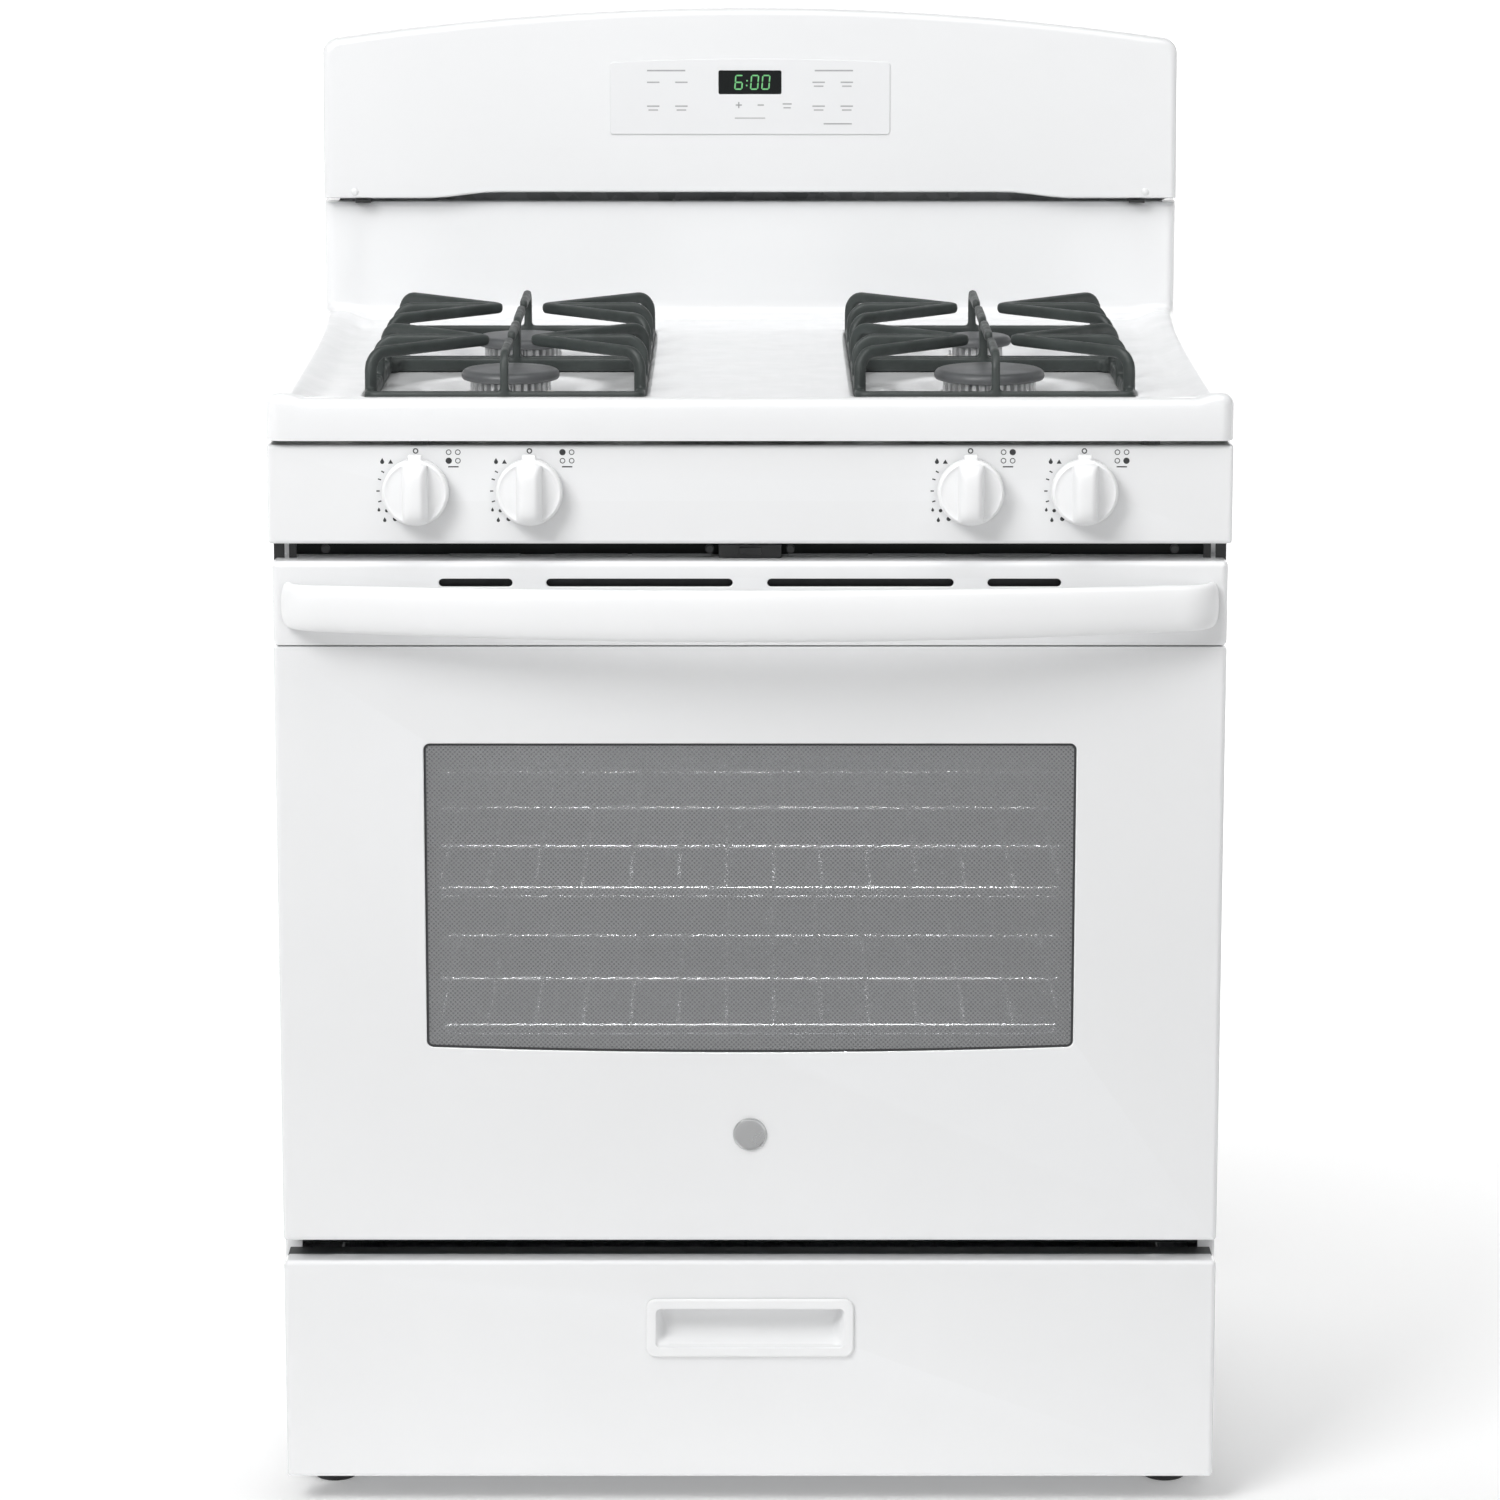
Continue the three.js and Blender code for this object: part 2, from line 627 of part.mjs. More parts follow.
// ---- Oven door ----------------------------------------------------------------------------------
function windowOutline(grow) {
  const half = WINDOW_HALF + grow;
  const low = WINDOW_Z[0] - grow;
  const high = WINDOW_Z[1] + grow;
  const outline = new THREE.Shape();
  outline.moveTo(-half, low);
  outline.quadraticCurveTo(0, low - 2 * WINDOW_SAG, half, low);
  outline.absarc(half - 5, high - 5, 5, 0, Math.PI / 2);
  outline.absarc(5 - half, high - 5, 5, Math.PI / 2, Math.PI);
  return outline;
}

const hingeSlot = (side, y) => block(
  [side * (HINGE_X - 15), side * (HINGE_X + 17)],
  y,
  [DOOR_Z[0] - 2, HINGE_Z + 24],
);

function doorPanel() {
  const top = DOOR_SEAM - GAP;
  const back = DOOR_BACK - SHEET - GAP;
  const edge = 5;
  const outer = new THREE.Shape();
  outer.moveTo(back, DOOR_Z[0]);
  outer.lineTo(back, top);
  outer.lineTo(FACE, top);
  outer.absarc(FACE + edge, DOOR_Z[0] + edge, edge, Math.PI, 1.5 * Math.PI);
  const inner = polygon([
    [back + 1, DOOR_Z[0] + SHEET],
    [back + 1, top - SHEET],
    [FACE + SHEET, top - SHEET],
    [FACE + SHEET, DOOR_Z[0] + edge],
    [FACE + edge, DOOR_Z[0] + SHEET],
  ]);
  const shell = prismX(outer, [-DOOR_HALF, DOOR_HALF])
    .subtract(prismX(inner, [SHEET - DOOR_HALF, DOOR_HALF - SHEET]));
  const heel = block([-HALF, HALF], [back - 5, back + 1], [DOOR_Z[0] - 1, DOOR_Z[0] + 6]);
  const slots = union(SIDES.map(([, side]) => hingeSlot(side, [HINGE_Y - 13, back + 2])));
  return shell
    .subtract(prismY(windowOutline(0), [FACE - 5, FACE + 5], 6))
    .subtract(heel)
    .subtract(slots);
}

function doorTrim() {
  const back = DOOR_BACK - SHEET - GAP;
  const low = DOOR_SEAM + GAP;
  const edge = 6;
  const outer = new THREE.Shape();
  outer.moveTo(FACE, low);
  outer.lineTo(back, low);
  outer.lineTo(back, DOOR_Z[1]);
  outer.absarc(FACE + edge, DOOR_Z[1] - edge, edge, Math.PI / 2, Math.PI);
  const inner = polygon([
    [FACE + SHEET, low - 1],
    [back + 1, low - 1],
    [back + 1, DOOR_Z[1] - SHEET],
    [FACE + edge, DOOR_Z[1] - SHEET],
    [FACE + SHEET, DOOR_Z[1] - edge],
  ]);
  const shell = prismX(outer, [-DOOR_HALF, DOOR_HALF])
    .subtract(prismX(inner, [SHEET - DOOR_HALF, DOOR_HALF - SHEET]));
  const slots = [];
  for (const [centre, length] of [[-217, 58.3], [-87.4, 147.5], [87.4, 147.5], [217, 58.3]]) {
    const lower = VENT_Z - VENT_HEIGHT / 2;
    const outline = round(length / 2, lower, lower + VENT_HEIGHT, VENT_HEIGHT / 2 - 0.01);
    const slot = prismY(outline, [FACE - 5, FACE + 5], 2);
    slots.push(slot.translate([centre, 0, 0]));
  }
  return shell.subtract(union(slots));
}

// The bar's plan is a wide arc; two posts behind its ends stand on the trim.
function doorHandle() {
  const centreZ = (HANDLE_Z[0] + HANDLE_Z[1]) / 2;
  const radius = (HANDLE_HALF ** 2 + HANDLE_BOW ** 2) / (2 * HANDLE_BOW);
  const angle = Math.asin(HANDLE_HALF / radius);
  const stations = 12;
  const points = [];
  for (let i = 0; i <= stations; i += 1) {
    const turn = angle * ((2 * i) / stations - 1);
    const y = -BACK + HANDLE_THICK / 2 + radius * (1 - Math.cos(turn));
    points.push(new THREE.Vector3(radius * Math.sin(turn), y, centreZ));
  }
  const section = new THREE.Shape();
  section.absellipse(0, 0, (HANDLE_Z[1] - HANDLE_Z[0]) / 2, HANDLE_THICK / 2, 0, 2 * Math.PI);
  const bar = solid(new THREE.ExtrudeGeometry(section, {
    steps: 16,
    curveSegments: 6,
    bevelEnabled: false,
    extrudePath: new THREE.CatmullRomCurve3(points),
  }));
  const posts = union([-1, 1].map((side) => (
    block([side * (HANDLE_HALF - 3), side * (HANDLE_HALF - 21)], [FACE - 22, FACE - GAP],
      [HANDLE_Z[0] + 6, HANDLE_Z[1] - 6]))));
  return bar.add(posts);
}

function doorGlass(half, y, z) {
  return block([-half, half], y, z);
}

function innerLiner() {
  const plate = block([-DOOR_HALF, DOOR_HALF], [DOOR_BACK - SHEET, DOOR_BACK], [DOOR_Z[0] + 6, DOOR_Z[1] - 1]);
  const pane = prismY(round(INNER_PANE.half - 18, INNER_PANE.z[0] + 15, INNER_PANE.z[1] - 15, 12),
    [DOOR_BACK - 5, DOOR_BACK + 5]);
  const slots = union(SIDES.map(([, side]) => hingeSlot(side, [DOOR_BACK - 5, DOOR_BACK + 2])));
  return plate.subtract(pane).subtract(slots);
}

const INNER_PANE = { half: 268, z: [374, 652] };

function hingeLeaf(side) {
  const bar = block([side * (HINGE_X - 10), side * (HINGE_X - 4)], [FACE + 6, DOOR_BACK - SHEET - 1.2],
    [HINGE_Z - 7.7, HINGE_Z + 130]);
  const bore = rod([side * (HINGE_X - 20), HINGE_Y, HINGE_Z], [side * HINGE_X, HINGE_Y, HINGE_Z], PIN_R + 0.6, 16);
  return bar.subtract(bore);
}

// ---- Storage drawer -----------------------------------------------------------------------------
function drawerFront() {
  const back = FACE + DRAWER_THICK;
  const edge = 4;
  const outer = new THREE.Shape();
  outer.moveTo(back, DRAWER_Z[0]);
  outer.lineTo(back, DRAWER_Z[1]);
  outer.absarc(FACE + edge, DRAWER_Z[1] - edge, edge, Math.PI / 2, Math.PI);
  outer.absarc(FACE + edge, DRAWER_Z[0] + edge, edge, Math.PI, 1.5 * Math.PI);
  const hollow = block(
    [SHEET - DOOR_HALF, DOOR_HALF - SHEET],
    [FACE + 2.5, back + 1],
    [DRAWER_Z[0] + SHEET, DRAWER_Z[1] - SHEET],
  );
  const cup = block(
    [PULL.rim - PULL.width / 2 - 1, PULL.width / 2 - PULL.rim + 1],
    [FACE - 5, FACE + 5],
    [PULL.z - PULL.height / 2 + PULL.rim - 1, PULL.z + PULL.height / 2 - PULL.rim + 1],
  );
  return prismX(outer, [-DOOR_HALF, DOOR_HALF]).subtract(hollow).subtract(cup);
}

function drawerPull() {
  const half = PULL.width / 2;
  const tall = PULL.height / 2;
  const low = PULL.z - tall;
  const high = PULL.z + tall;
  const wall = 1.6;
  const flange = prismY(round(half, low, high, 8), [FACE - PULL.proud, FACE - GAP]);
  const box = block(
    [PULL.rim - half, half - PULL.rim],
    [FACE - 1, FACE + PULL.depth],
    [low + PULL.rim, high - PULL.rim],
  );
  const recess = block(
    [PULL.rim + wall - half, half - PULL.rim - wall],
    [FACE - 10, FACE + PULL.depth - wall],
    [low + PULL.rim + wall, high - PULL.rim - wall],
  );
  return flange.add(box).subtract(recess);
}

const RAIL_Z = 126;

function drawerPan() {
  const front = FACE + DRAWER_THICK + GAP;
  const tray = block([-PAN_HALF, PAN_HALF], [front, PAN_BACK], PAN_Z).subtract(block(
    [SHEET - PAN_HALF, PAN_HALF - SHEET],
    [front + SHEET, PAN_BACK - SHEET],
    [PAN_Z[0] + SHEET, PAN_Z[1] + 1],
  ));
  const runners = SIDES.map(([, side]) => (
    block([side * (PAN_HALF - 1), side * (HALF - FLANGE - 1.5)], [front, PAN_BACK], [RAIL_Z - 3, RAIL_Z + 3])));
  return tray.add(union(runners));
}

function drawerRail(side) {
  const outer = HALF - SHEET - GAP;
  const inner = PAN_HALF + 9;
  const y = [FRAME + SHEET + GAP, PAN_BACK + 5];
  const channel = block([side * inner, side * outer], y, [RAIL_Z - 14, RAIL_Z + 14]);
  return channel.subtract(block(
    [side * (inner - 1), side * (outer - SHEET)],
    [y[0] - 1, y[1] + 1],
    [RAIL_Z + SHEET - 14, RAIL_Z + 14 - SHEET],
  ));
}

// ---- Assembly -----------------------------------------------------------------------------------
for (const [name, side] of SIDES) {
  add(`${name}_side_panel`, sidePanel(side), ENAMEL);
  add(`${name}_drawer_rail`, drawerRail(side), GALVANISED);
  add(`${name}_door_hinge`, hingeLeaf(side), GALVANISED);
  FOOT_Y.forEach((y, i) => {
    const leg = add(`${name}_${['front', 'rear'][i]}_leg`, foot(), DARK_PLASTIC);
    leg.position.set(side * FOOT_X, y, 0);
  });
}
add('rear_panel', rearPanel(), GALVANISED);
add('base_frame', baseFrame(), GALVANISED);
add('front_frame', frontFrame(), DARK_ENAMEL);

add('oven_liner', ovenLiner(), DARK_ENAMEL);
add('oven_gasket', gasket(), FIBRE);
add('oven_floor', ovenFloor(), DARK_ENAMEL);
for (const [name, level] of Object.entries(RACK_IN_USE)) add(name, rack(rackZ(level)), BRIGHT_WIRE);
add('oven_flue', flue(), GALVANISED);

add('gas_manifold', manifold(), ALUMINIUM);
add('pressure_regulator', regulator(), ALUMINIUM);
add('knob_panel', knobPanel(), ENAMEL);
const KNOB_NAMES = ['left_front', 'left_rear', 'right_rear', 'right_front'];
KNOB_NAMES.forEach((name, i) => {
  const station = new THREE.Group();
  station.position.set(KNOB_X[i], 0, KNOB_Z);
  range.add(station);
  add(`${name}_valve_body`, valveBody(), BRASS, station);
  add(`${name}_valve_stem`, valveStem(), ALUMINIUM, station);
  add(`${name}_knob`, knob(), WHITE_PLASTIC, station).position.y = FACE;
});

add('cooktop', cooktop(), ENAMEL);
for (const burner of BURNERS) {
  const station = new THREE.Group();
  station.position.set(burner.x, burner.y, 0);
  range.add(station);
  add(`${burner.name}_burner_head`, burnerHead(burner.cap), ALUMINIUM, station);
  add(`${burner.name}_burner_cap`, burnerCap(burner.cap), CAP_ENAMEL, station);
  add(`${burner.name}_grate`, grate(), CAST_IRON, station);
}

add('backguard_shell', guardShell(), ENAMEL);
add('backguard_rear_cover', rearCover(), GALVANISED);
placeOnGuard(add('control_overlay', overlay(), WHITE_PLASTIC), (OVERLAY.low + OVERLAY.high) / 2);
const DISPLAY_Z = 1122;
const display = block([-28, 28], [-1.9 - GAP, -1.2 - GAP], [-10.5, 10.5]);
placeOnGuard(add('display_window', display, DARK_PLASTIC), DISPLAY_Z);

add('door_outer_panel', doorPanel(), ENAMEL);
add('door_top_trim', doorTrim(), ENAMEL);
add('door_handle', doorHandle(), WHITE_PLASTIC);
const OUTER_PANE = [FACE + SHEET + GAP, FACE + SHEET + GAP + 4];
const OUTER_PANE_Z = [WINDOW_Z[0] - WINDOW_SAG - 14, WINDOW_Z[1] + 14];
add('door_outer_glass', doorGlass(WINDOW_HALF + 12, OUTER_PANE, OUTER_PANE_Z), PRINTED_GLASS);
const INNER_PANE_Y = [DOOR_BACK - SHEET - GAP - 4, DOOR_BACK - SHEET - GAP];
add('door_inner_glass', doorGlass(INNER_PANE.half, INNER_PANE_Y, INNER_PANE.z), CLEAR_GLASS);
add('door_inner_liner', innerLiner(), DARK_ENAMEL);

add('drawer_front', drawerFront(), ENAMEL);
add('drawer_pull', drawerPull(), WHITE_PLASTIC);
add('drawer_pan', drawerPan(), GALVANISED);

export default range;
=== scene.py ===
"""Looks of the freestanding gas range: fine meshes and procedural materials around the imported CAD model.

Lengths in this script are in millimetres until `finish_mesh` turns them into metres.
+X is right as seen from the front, -Y is the front, +Z is up.
"""

import math

import bmesh
import bpy
from mathutils import Matrix, Vector


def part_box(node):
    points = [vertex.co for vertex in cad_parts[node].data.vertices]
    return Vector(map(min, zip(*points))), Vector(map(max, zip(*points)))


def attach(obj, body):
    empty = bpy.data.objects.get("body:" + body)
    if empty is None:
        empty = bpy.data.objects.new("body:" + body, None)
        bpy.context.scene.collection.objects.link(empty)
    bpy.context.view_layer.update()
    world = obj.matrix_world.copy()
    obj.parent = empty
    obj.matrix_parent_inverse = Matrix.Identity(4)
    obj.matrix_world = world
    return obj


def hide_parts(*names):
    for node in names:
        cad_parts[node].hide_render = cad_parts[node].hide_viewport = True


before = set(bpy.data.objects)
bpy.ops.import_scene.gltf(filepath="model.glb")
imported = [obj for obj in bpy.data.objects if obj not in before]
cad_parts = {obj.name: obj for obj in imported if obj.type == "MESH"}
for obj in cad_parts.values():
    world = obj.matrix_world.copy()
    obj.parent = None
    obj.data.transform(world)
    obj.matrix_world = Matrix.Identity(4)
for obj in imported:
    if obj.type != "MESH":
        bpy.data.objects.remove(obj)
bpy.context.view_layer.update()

MM = 0.001
SHEET = 1.2                     # thickness of the enamelled sheet
STATIONS = ("left_front", "left_rear", "right_rear", "right_front")
SIDES = (("left", -1), ("right", 1))


def extent(node):
    """The node's box as three (low, high) pairs in millimetres."""
    low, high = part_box(node)
    return [(low[i] / MM, high[i] / MM) for i in range(3)]


def middle(pair):
    return (pair[0] + pair[1]) / 2


def blend(t):
    """0 below 0, 1 above 1, and smooth between."""
    t = min(1.0, max(0.0, t))
    return t * t * (3 - 2 * t)


# ---- Materials ------------------------------------------------------------------------------------
def ramp_between(nodes, links, source, low, high, out_low, out_high):
    node = nodes.new("ShaderNodeMapRange")
    node.inputs["From Min"].default_value = low
    node.inputs["From Max"].default_value = high
    node.inputs["To Min"].default_value = out_low
    node.inputs["To Max"].default_value = out_high
    links.new(source, node.inputs["Value"])
    return node.outputs["Result"]


def noise(nodes, links, coordinates, scale, detail, stretch=None):
    texture = nodes.new("ShaderNodeTexNoise")
    texture.inputs["Scale"].default_value = scale
    texture.inputs["Detail"].default_value = detail
    if stretch:
        mapping = nodes.new("ShaderNodeMapping")
        mapping.inputs["Scale"].default_value = stretch
        links.new(coordinates, mapping.inputs["Vector"])
        coordinates = mapping.outputs["Vector"]
    links.new(coordinates, texture.inputs["Vector"])
    return texture.outputs["Fac"]


def mix_colours(nodes, links, factor, first, second):
    node = nodes.new("ShaderNodeMix")
    node.data_type = "RGBA"
    links.new(factor, node.inputs["Factor"])
    for value, socket in ((first, node.inputs[6]), (second, node.inputs[7])):
        if isinstance(value, (tuple, list)):
            socket.default_value = (*value[:3], 1.0)
        else:
            links.new(value, socket)
    return node.outputs[2]


def arithmetic(nodes, links, operation, first, second):
    node = nodes.new("ShaderNodeMath")
    node.operation = operation
    for value, socket in zip((first, second), node.inputs):
        if isinstance(value, (int, float)):
            socket.default_value = value
        else:
            links.new(value, socket)
    return node.outputs[0]


def new_material(name):
    """A material with its nodes, links and shader, and the object's coordinates."""
    made = bpy.data.materials.new(name)
    made.use_nodes = True
    nodes, links = made.node_tree.nodes, made.node_tree.links
    place = nodes.new("ShaderNodeTexCoord").outputs["Object"]
    return made, nodes, links, nodes["Principled BSDF"], place


def scaled(colour, factor):
    return tuple(min(1.0, c * factor) for c in colour[:3])


def surface(
    name, colour, roughness, metallic=0.0, mottle=0.02, mottle_scale=6.0, rough_change=0.04,
    rough_scale=30.0, bump_scale=300.0, bump_mm=0.02, bump_strength=0.3, wear=None, wear_amount=0.5,
    coat=0.0, speckle=None, speckle_scale=900.0, stretch=None, specular=0.5,
):
    """A procedural finish: mottled colour, uneven gloss, fine relief and worn edges."""
    made, nodes, links, shader, place = new_material(name)
    patches = noise(nodes, links, place, mottle_scale, 4.0)
    spread = ramp_between(nodes, links, patches, 0.35, 0.65, 0.0, 1.0)
    tint = mix_colours(nodes, links, spread, scaled(colour, 1 - mottle), scaled(colour, 1 + mottle))
    if speckle:
        cells = nodes.new("ShaderNodeTexVoronoi")
        cells.inputs["Scale"].default_value = speckle_scale
        links.new(place, cells.inputs["Vector"])
        dots = ramp_between(nodes, links, cells.outputs["Distance"], 0.16, 0.24, 1.0, 0.0)
        tint = mix_colours(nodes, links, dots, tint, speckle)
    if wear:
        point = nodes.new("ShaderNodeNewGeometry").outputs["Pointiness"]
        edges = ramp_between(nodes, links, point, 0.52, 0.6, 0.0, wear_amount)
        tint = mix_colours(nodes, links, edges, tint, wear)
    links.new(tint, shader.inputs["Base Color"])
    uneven = noise(nodes, links, place, rough_scale, 5.0, stretch)
    gloss = ramp_between(
        nodes, links, uneven, 0.3, 0.7,
        max(0.02, roughness - rough_change), min(1.0, roughness + rough_change),
    )
    links.new(gloss, shader.inputs["Roughness"])
    relief = noise(nodes, links, place, bump_scale, 4.0, stretch)
    bump = nodes.new("ShaderNodeBump")
    bump.inputs["Strength"].default_value = bump_strength
    bump.inputs["Distance"].default_value = bump_mm * MM
    links.new(relief, bump.inputs["Height"])
    links.new(bump.outputs["Normal"], shader.inputs["Normal"])
    shader.inputs["Metallic"].default_value = metallic
    shader.inputs["Coat Weight"].default_value = coat
    shader.inputs["Coat Roughness"].default_value = 0.06
    shader.inputs["Specular IOR Level"].default_value = specular
    return made


def galvanised():
    """Zinc coating with its crystal pattern."""
    made = surface("galvanised_zinc", (0.5, 0.51, 0.52), 0.42, metallic=1.0, bump_scale=180.0, bump_mm=0.03)
    nodes, links = made.node_tree.nodes, made.node_tree.links
    cells = nodes.new("ShaderNodeTexVoronoi")
    cells.inputs["Scale"].default_value = 90.0
    links.new(nodes["Texture Coordinate"].outputs["Object"], cells.inputs["Vector"])
    grey = nodes.new("ShaderNodeSeparateColor")
    links.new(cells.outputs["Color"], grey.inputs["Color"])
    tone = mix_colours(nodes, links, grey.outputs["Red"], (0.43, 0.44, 0.45), (0.58, 0.59, 0.6))
    links.new(tone, nodes["Principled BSDF"].inputs["Base Color"])
    return made


DOT_PITCH = 3.7                 # of the dots printed on the door's glass


def dotted_glass():
    """The door's glass, printed on its inner side with a lattice of fine dots."""
    made, nodes, links, shader, place = new_material("dotted_glass")
    split = nodes.new("ShaderNodeSeparateXYZ")
    links.new(place, split.inputs["Vector"])
    waves = []
    for axis in ("X", "Z"):
        turns = arithmetic(nodes, links, "MULTIPLY", split.outputs[axis], 2 * math.pi / (DOT_PITCH * MM))
        waves.append(arithmetic(nodes, links, "COSINE", turns, 0.0))
    lattice = arithmetic(nodes, links, "MULTIPLY", *waves)
    dots = ramp_between(nodes, links, lattice, -0.1, 0.5, 0.0, 1.0)
    tint = mix_colours(nodes, links, dots, (0.345, 0.351, 0.357), (0.21, 0.213, 0.218))
    cloud = noise(nodes, links, place, 5.0, 3.0)
    shade = ramp_between(nodes, links, cloud, 0.3, 0.7, 0.0, 0.25)
    tint = mix_colours(nodes, links, shade, tint, (0.245, 0.249, 0.255))
    links.new(tint, shader.inputs["Base Color"])
    smear = noise(nodes, links, place, 14.0, 5.0)
    links.new(ramp_between(nodes, links, smear, 0.3, 0.7, 0.05, 0.13), shader.inputs["Roughness"])
    see = ramp_between(nodes, links, lattice, 0.35, 0.7, 0.64, 0.5)
    links.new(see, shader.inputs["Alpha"])
    return made


def clear_glass():
    made, nodes, links, shader, place = new_material("clear_glass")
    smear = noise(nodes, links, place, 18.0, 5.0)
    links.new(ramp_between(nodes, links, smear, 0.3, 0.7, 0.02, 0.09), shader.inputs["Roughness"])
    shader.inputs["Base Color"].default_value = (0.04, 0.05, 0.047, 1.0)
    shader.inputs["Alpha"].default_value = 0.2
    return made


def lit_segments():
    """The display's digits."""
    made = surface("display_digits", (0.12, 0.4, 0.15), 0.4)
    shader = made.node_tree.nodes["Principled BSDF"]
    shader.inputs["Emission Color"].default_value = (0.25, 0.75, 0.3, 1.0)
    shader.inputs["Emission Strength"].default_value = 0.22
    return made


WHITE = (0.86, 0.867, 0.875)
ENAMEL = surface(
    "white_enamel", WHITE, 0.2, mottle=0.012, mottle_scale=3.0, bump_scale=240.0, bump_mm=0.012,
    coat=0.35, wear=(0.8, 0.8, 0.8), wear_amount=0.25,
)
# The white enamel made darker as painted shade, since the lights catch the backguard more than the door; the
# guard's screws share it.
SHADED_GUARD_ENAMEL = surface(
    "guard_enamel_painted_shade", scaled(WHITE, 0.92), 0.26, mottle=0.012, mottle_scale=3.0, rough_change=0.008,
    bump_scale=240.0, bump_mm=0.012, coat=0.2, wear=(0.8, 0.8, 0.8), wear_amount=0.1,
)
WHITE_PLASTIC = surface(
    "white_plastic", (0.87, 0.875, 0.88), 0.34, mottle=0.01, bump_scale=1400.0, bump_mm=0.01,
    bump_strength=0.2, wear=(0.93, 0.93, 0.93), wear_amount=0.3,
)
# The film's own greyer white, made darker still as painted shade, since the lights catch the backguard
# strongly.
SHADED_OVERLAY = surface(
    "overlay_film_painted_shade", (0.77, 0.776, 0.785), 0.3, mottle=0.008, rough_change=0.008, bump_scale=2200.0,
    bump_mm=0.006,
)
DARK_ENAMEL = surface(
    "speckled_enamel", (0.022, 0.024, 0.03), 0.22, mottle=0.15, mottle_scale=12.0, bump_scale=260.0,
    bump_mm=0.03, speckle=(0.1, 0.108, 0.12), speckle_scale=520.0, coat=0.3, wear=(0.05, 0.05, 0.05),
)
FRAME_ENAMEL = surface(
    "matt_dark_enamel", (0.012, 0.015, 0.015), 0.5, mottle=0.12, mottle_scale=12.0, bump_scale=400.0,
    bump_mm=0.03, specular=0.25,
)
CAST_IRON = surface(
    "cast_iron_enamel", (0.036, 0.044, 0.042), 0.5, mottle=0.16, mottle_scale=40.0, rough_change=0.12,
    rough_scale=120.0, bump_scale=700.0, bump_mm=0.12, bump_strength=0.5, wear=(0.12, 0.13, 0.125),
    wear_amount=0.6,
)
CAP_ENAMEL = surface(
    "cap_enamel", (0.085, 0.09, 0.094), 0.42, mottle=0.1, mottle_scale=50.0, bump_scale=900.0,
    bump_mm=0.06, bump_strength=0.4, wear=(0.3, 0.3, 0.3), wear_amount=0.5,
)
CAST_ALUMINIUM = surface(
    "cast_aluminium", (0.66, 0.665, 0.67), 0.38, metallic=1.0, mottle=0.06, mottle_scale=60.0,
    bump_scale=800.0, bump_mm=0.08, bump_strength=0.4, wear=(0.85, 0.85, 0.85),
)
ZINC = galvanised()
WIRE = surface(
    "plated_wire", (0.66, 0.67, 0.68), 0.42, metallic=1.0, mottle=0.05, mottle_scale=80.0,
    rough_change=0.06, bump_scale=500.0, bump_mm=0.02,
)
BRASS = surface(
    "machined_brass", (0.62, 0.46, 0.2), 0.3, metallic=1.0, mottle=0.08, mottle_scale=90.0,
    bump_scale=900.0, bump_mm=0.02,
)
BLACK_PLASTIC = surface(
    "black_plastic", (0.02, 0.021, 0.022), 0.4, mottle=0.1, mottle_scale=50.0, bump_scale=900.0,
    bump_mm=0.03,
)
DISPLAY = surface("display_black", (0.006, 0.008, 0.008), 0.08, mottle=0.1, bump_mm=0.002, coat=0.5)
INK = surface("grey_ink", (0.035, 0.036, 0.038), 0.5, mottle=0.05, mottle_scale=300.0, bump_mm=0.004)
PALE_INK = surface("pale_ink", (0.38, 0.385, 0.39), 0.5, mottle=0.05, mottle_scale=300.0, bump_mm=0.004)
FIBRE = surface(
    "braided_fibre", (0.12, 0.12, 0.125), 0.95, mottle=0.3, mottle_scale=500.0, bump_scale=900.0,
    bump_mm=0.8, bump_strength=0.9, stretch=(1.0, 1.0, 1.0), specular=0.2,
)
DOTTED_GLASS = dotted_glass()
DIGITS = lit_segments()
CLEAR_GLASS = clear_glass()


# ---- Meshes ---------------------------------------------------------------------------------------
def make_object(mesh, name, finish, smooth=True):
    """Turns a bmesh in millimetres into an object in metres."""
    mesh.transform(Matrix.Scale(MM, 4))
    data = bpy.data.meshes.new(name)
    mesh.to_mesh(data)
    mesh.free()
    data.polygons.foreach_set("use_smooth", [smooth] * len(data.polygons))
    data.materials.append(finish)
    made = bpy.data.objects.new(name, data)
    bpy.context.scene.collection.objects.link(made)
    return made


def finish_mesh(mesh, name, finish, body, sharp=40.0, sheet=None, smooth=True):
    """Turns a bmesh in millimetres into a piece that rides on a body."""
    if sheet is None:
        bmesh.ops.recalc_face_normals(mesh, faces=mesh.faces)
    piece = make_object(mesh, name, finish, smooth)
    if sheet:
        solidify = piece.modifiers.new("sheet", "SOLIDIFY")
        solidify.thickness = sheet * MM
        solidify.offset = -1.0
        solidify.use_even_offset = True
    if smooth:
        piece.data.set_sharp_from_angle(angle=math.radians(sharp))
        weighted = piece.modifiers.new("normals", "WEIGHTED_NORMAL")
        weighted.keep_sharp = True
        weighted.weight = 80
    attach(piece, body)
    return piece


def polar(x, z, radius, degrees):
    turn = math.radians(degrees)
    return x + radius * math.cos(turn), z + radius * math.sin(turn)


def round_box(half, low, high, radius, steps=5):
    """An outline in (x, z) that takes an inset: a rectangle with round corners."""
    def outline(inset=0.0):
        h, b, t = half - inset, low + inset, high - inset
        r = max(0.2, radius - inset)
        points = []
        corners = ((h - r, b + r, -90), (h - r, t - r, 0), (r - h, t - r, 90), (r - h, b + r, 180))
        for x, z, start in corners:
            points += [polar(x, z, r, start + 90 * i / steps) for i in range(steps + 1)]
        return points
    return outline


def circle_outline(x, z, radius, steps=24):
    def outline(inset=0.0):
        r = radius - inset
        turns = [2 * math.pi * i / steps for i in range(steps)]
        return [(x + r * math.cos(turn), z + r * math.sin(turn)) for turn in turns]
    return outline


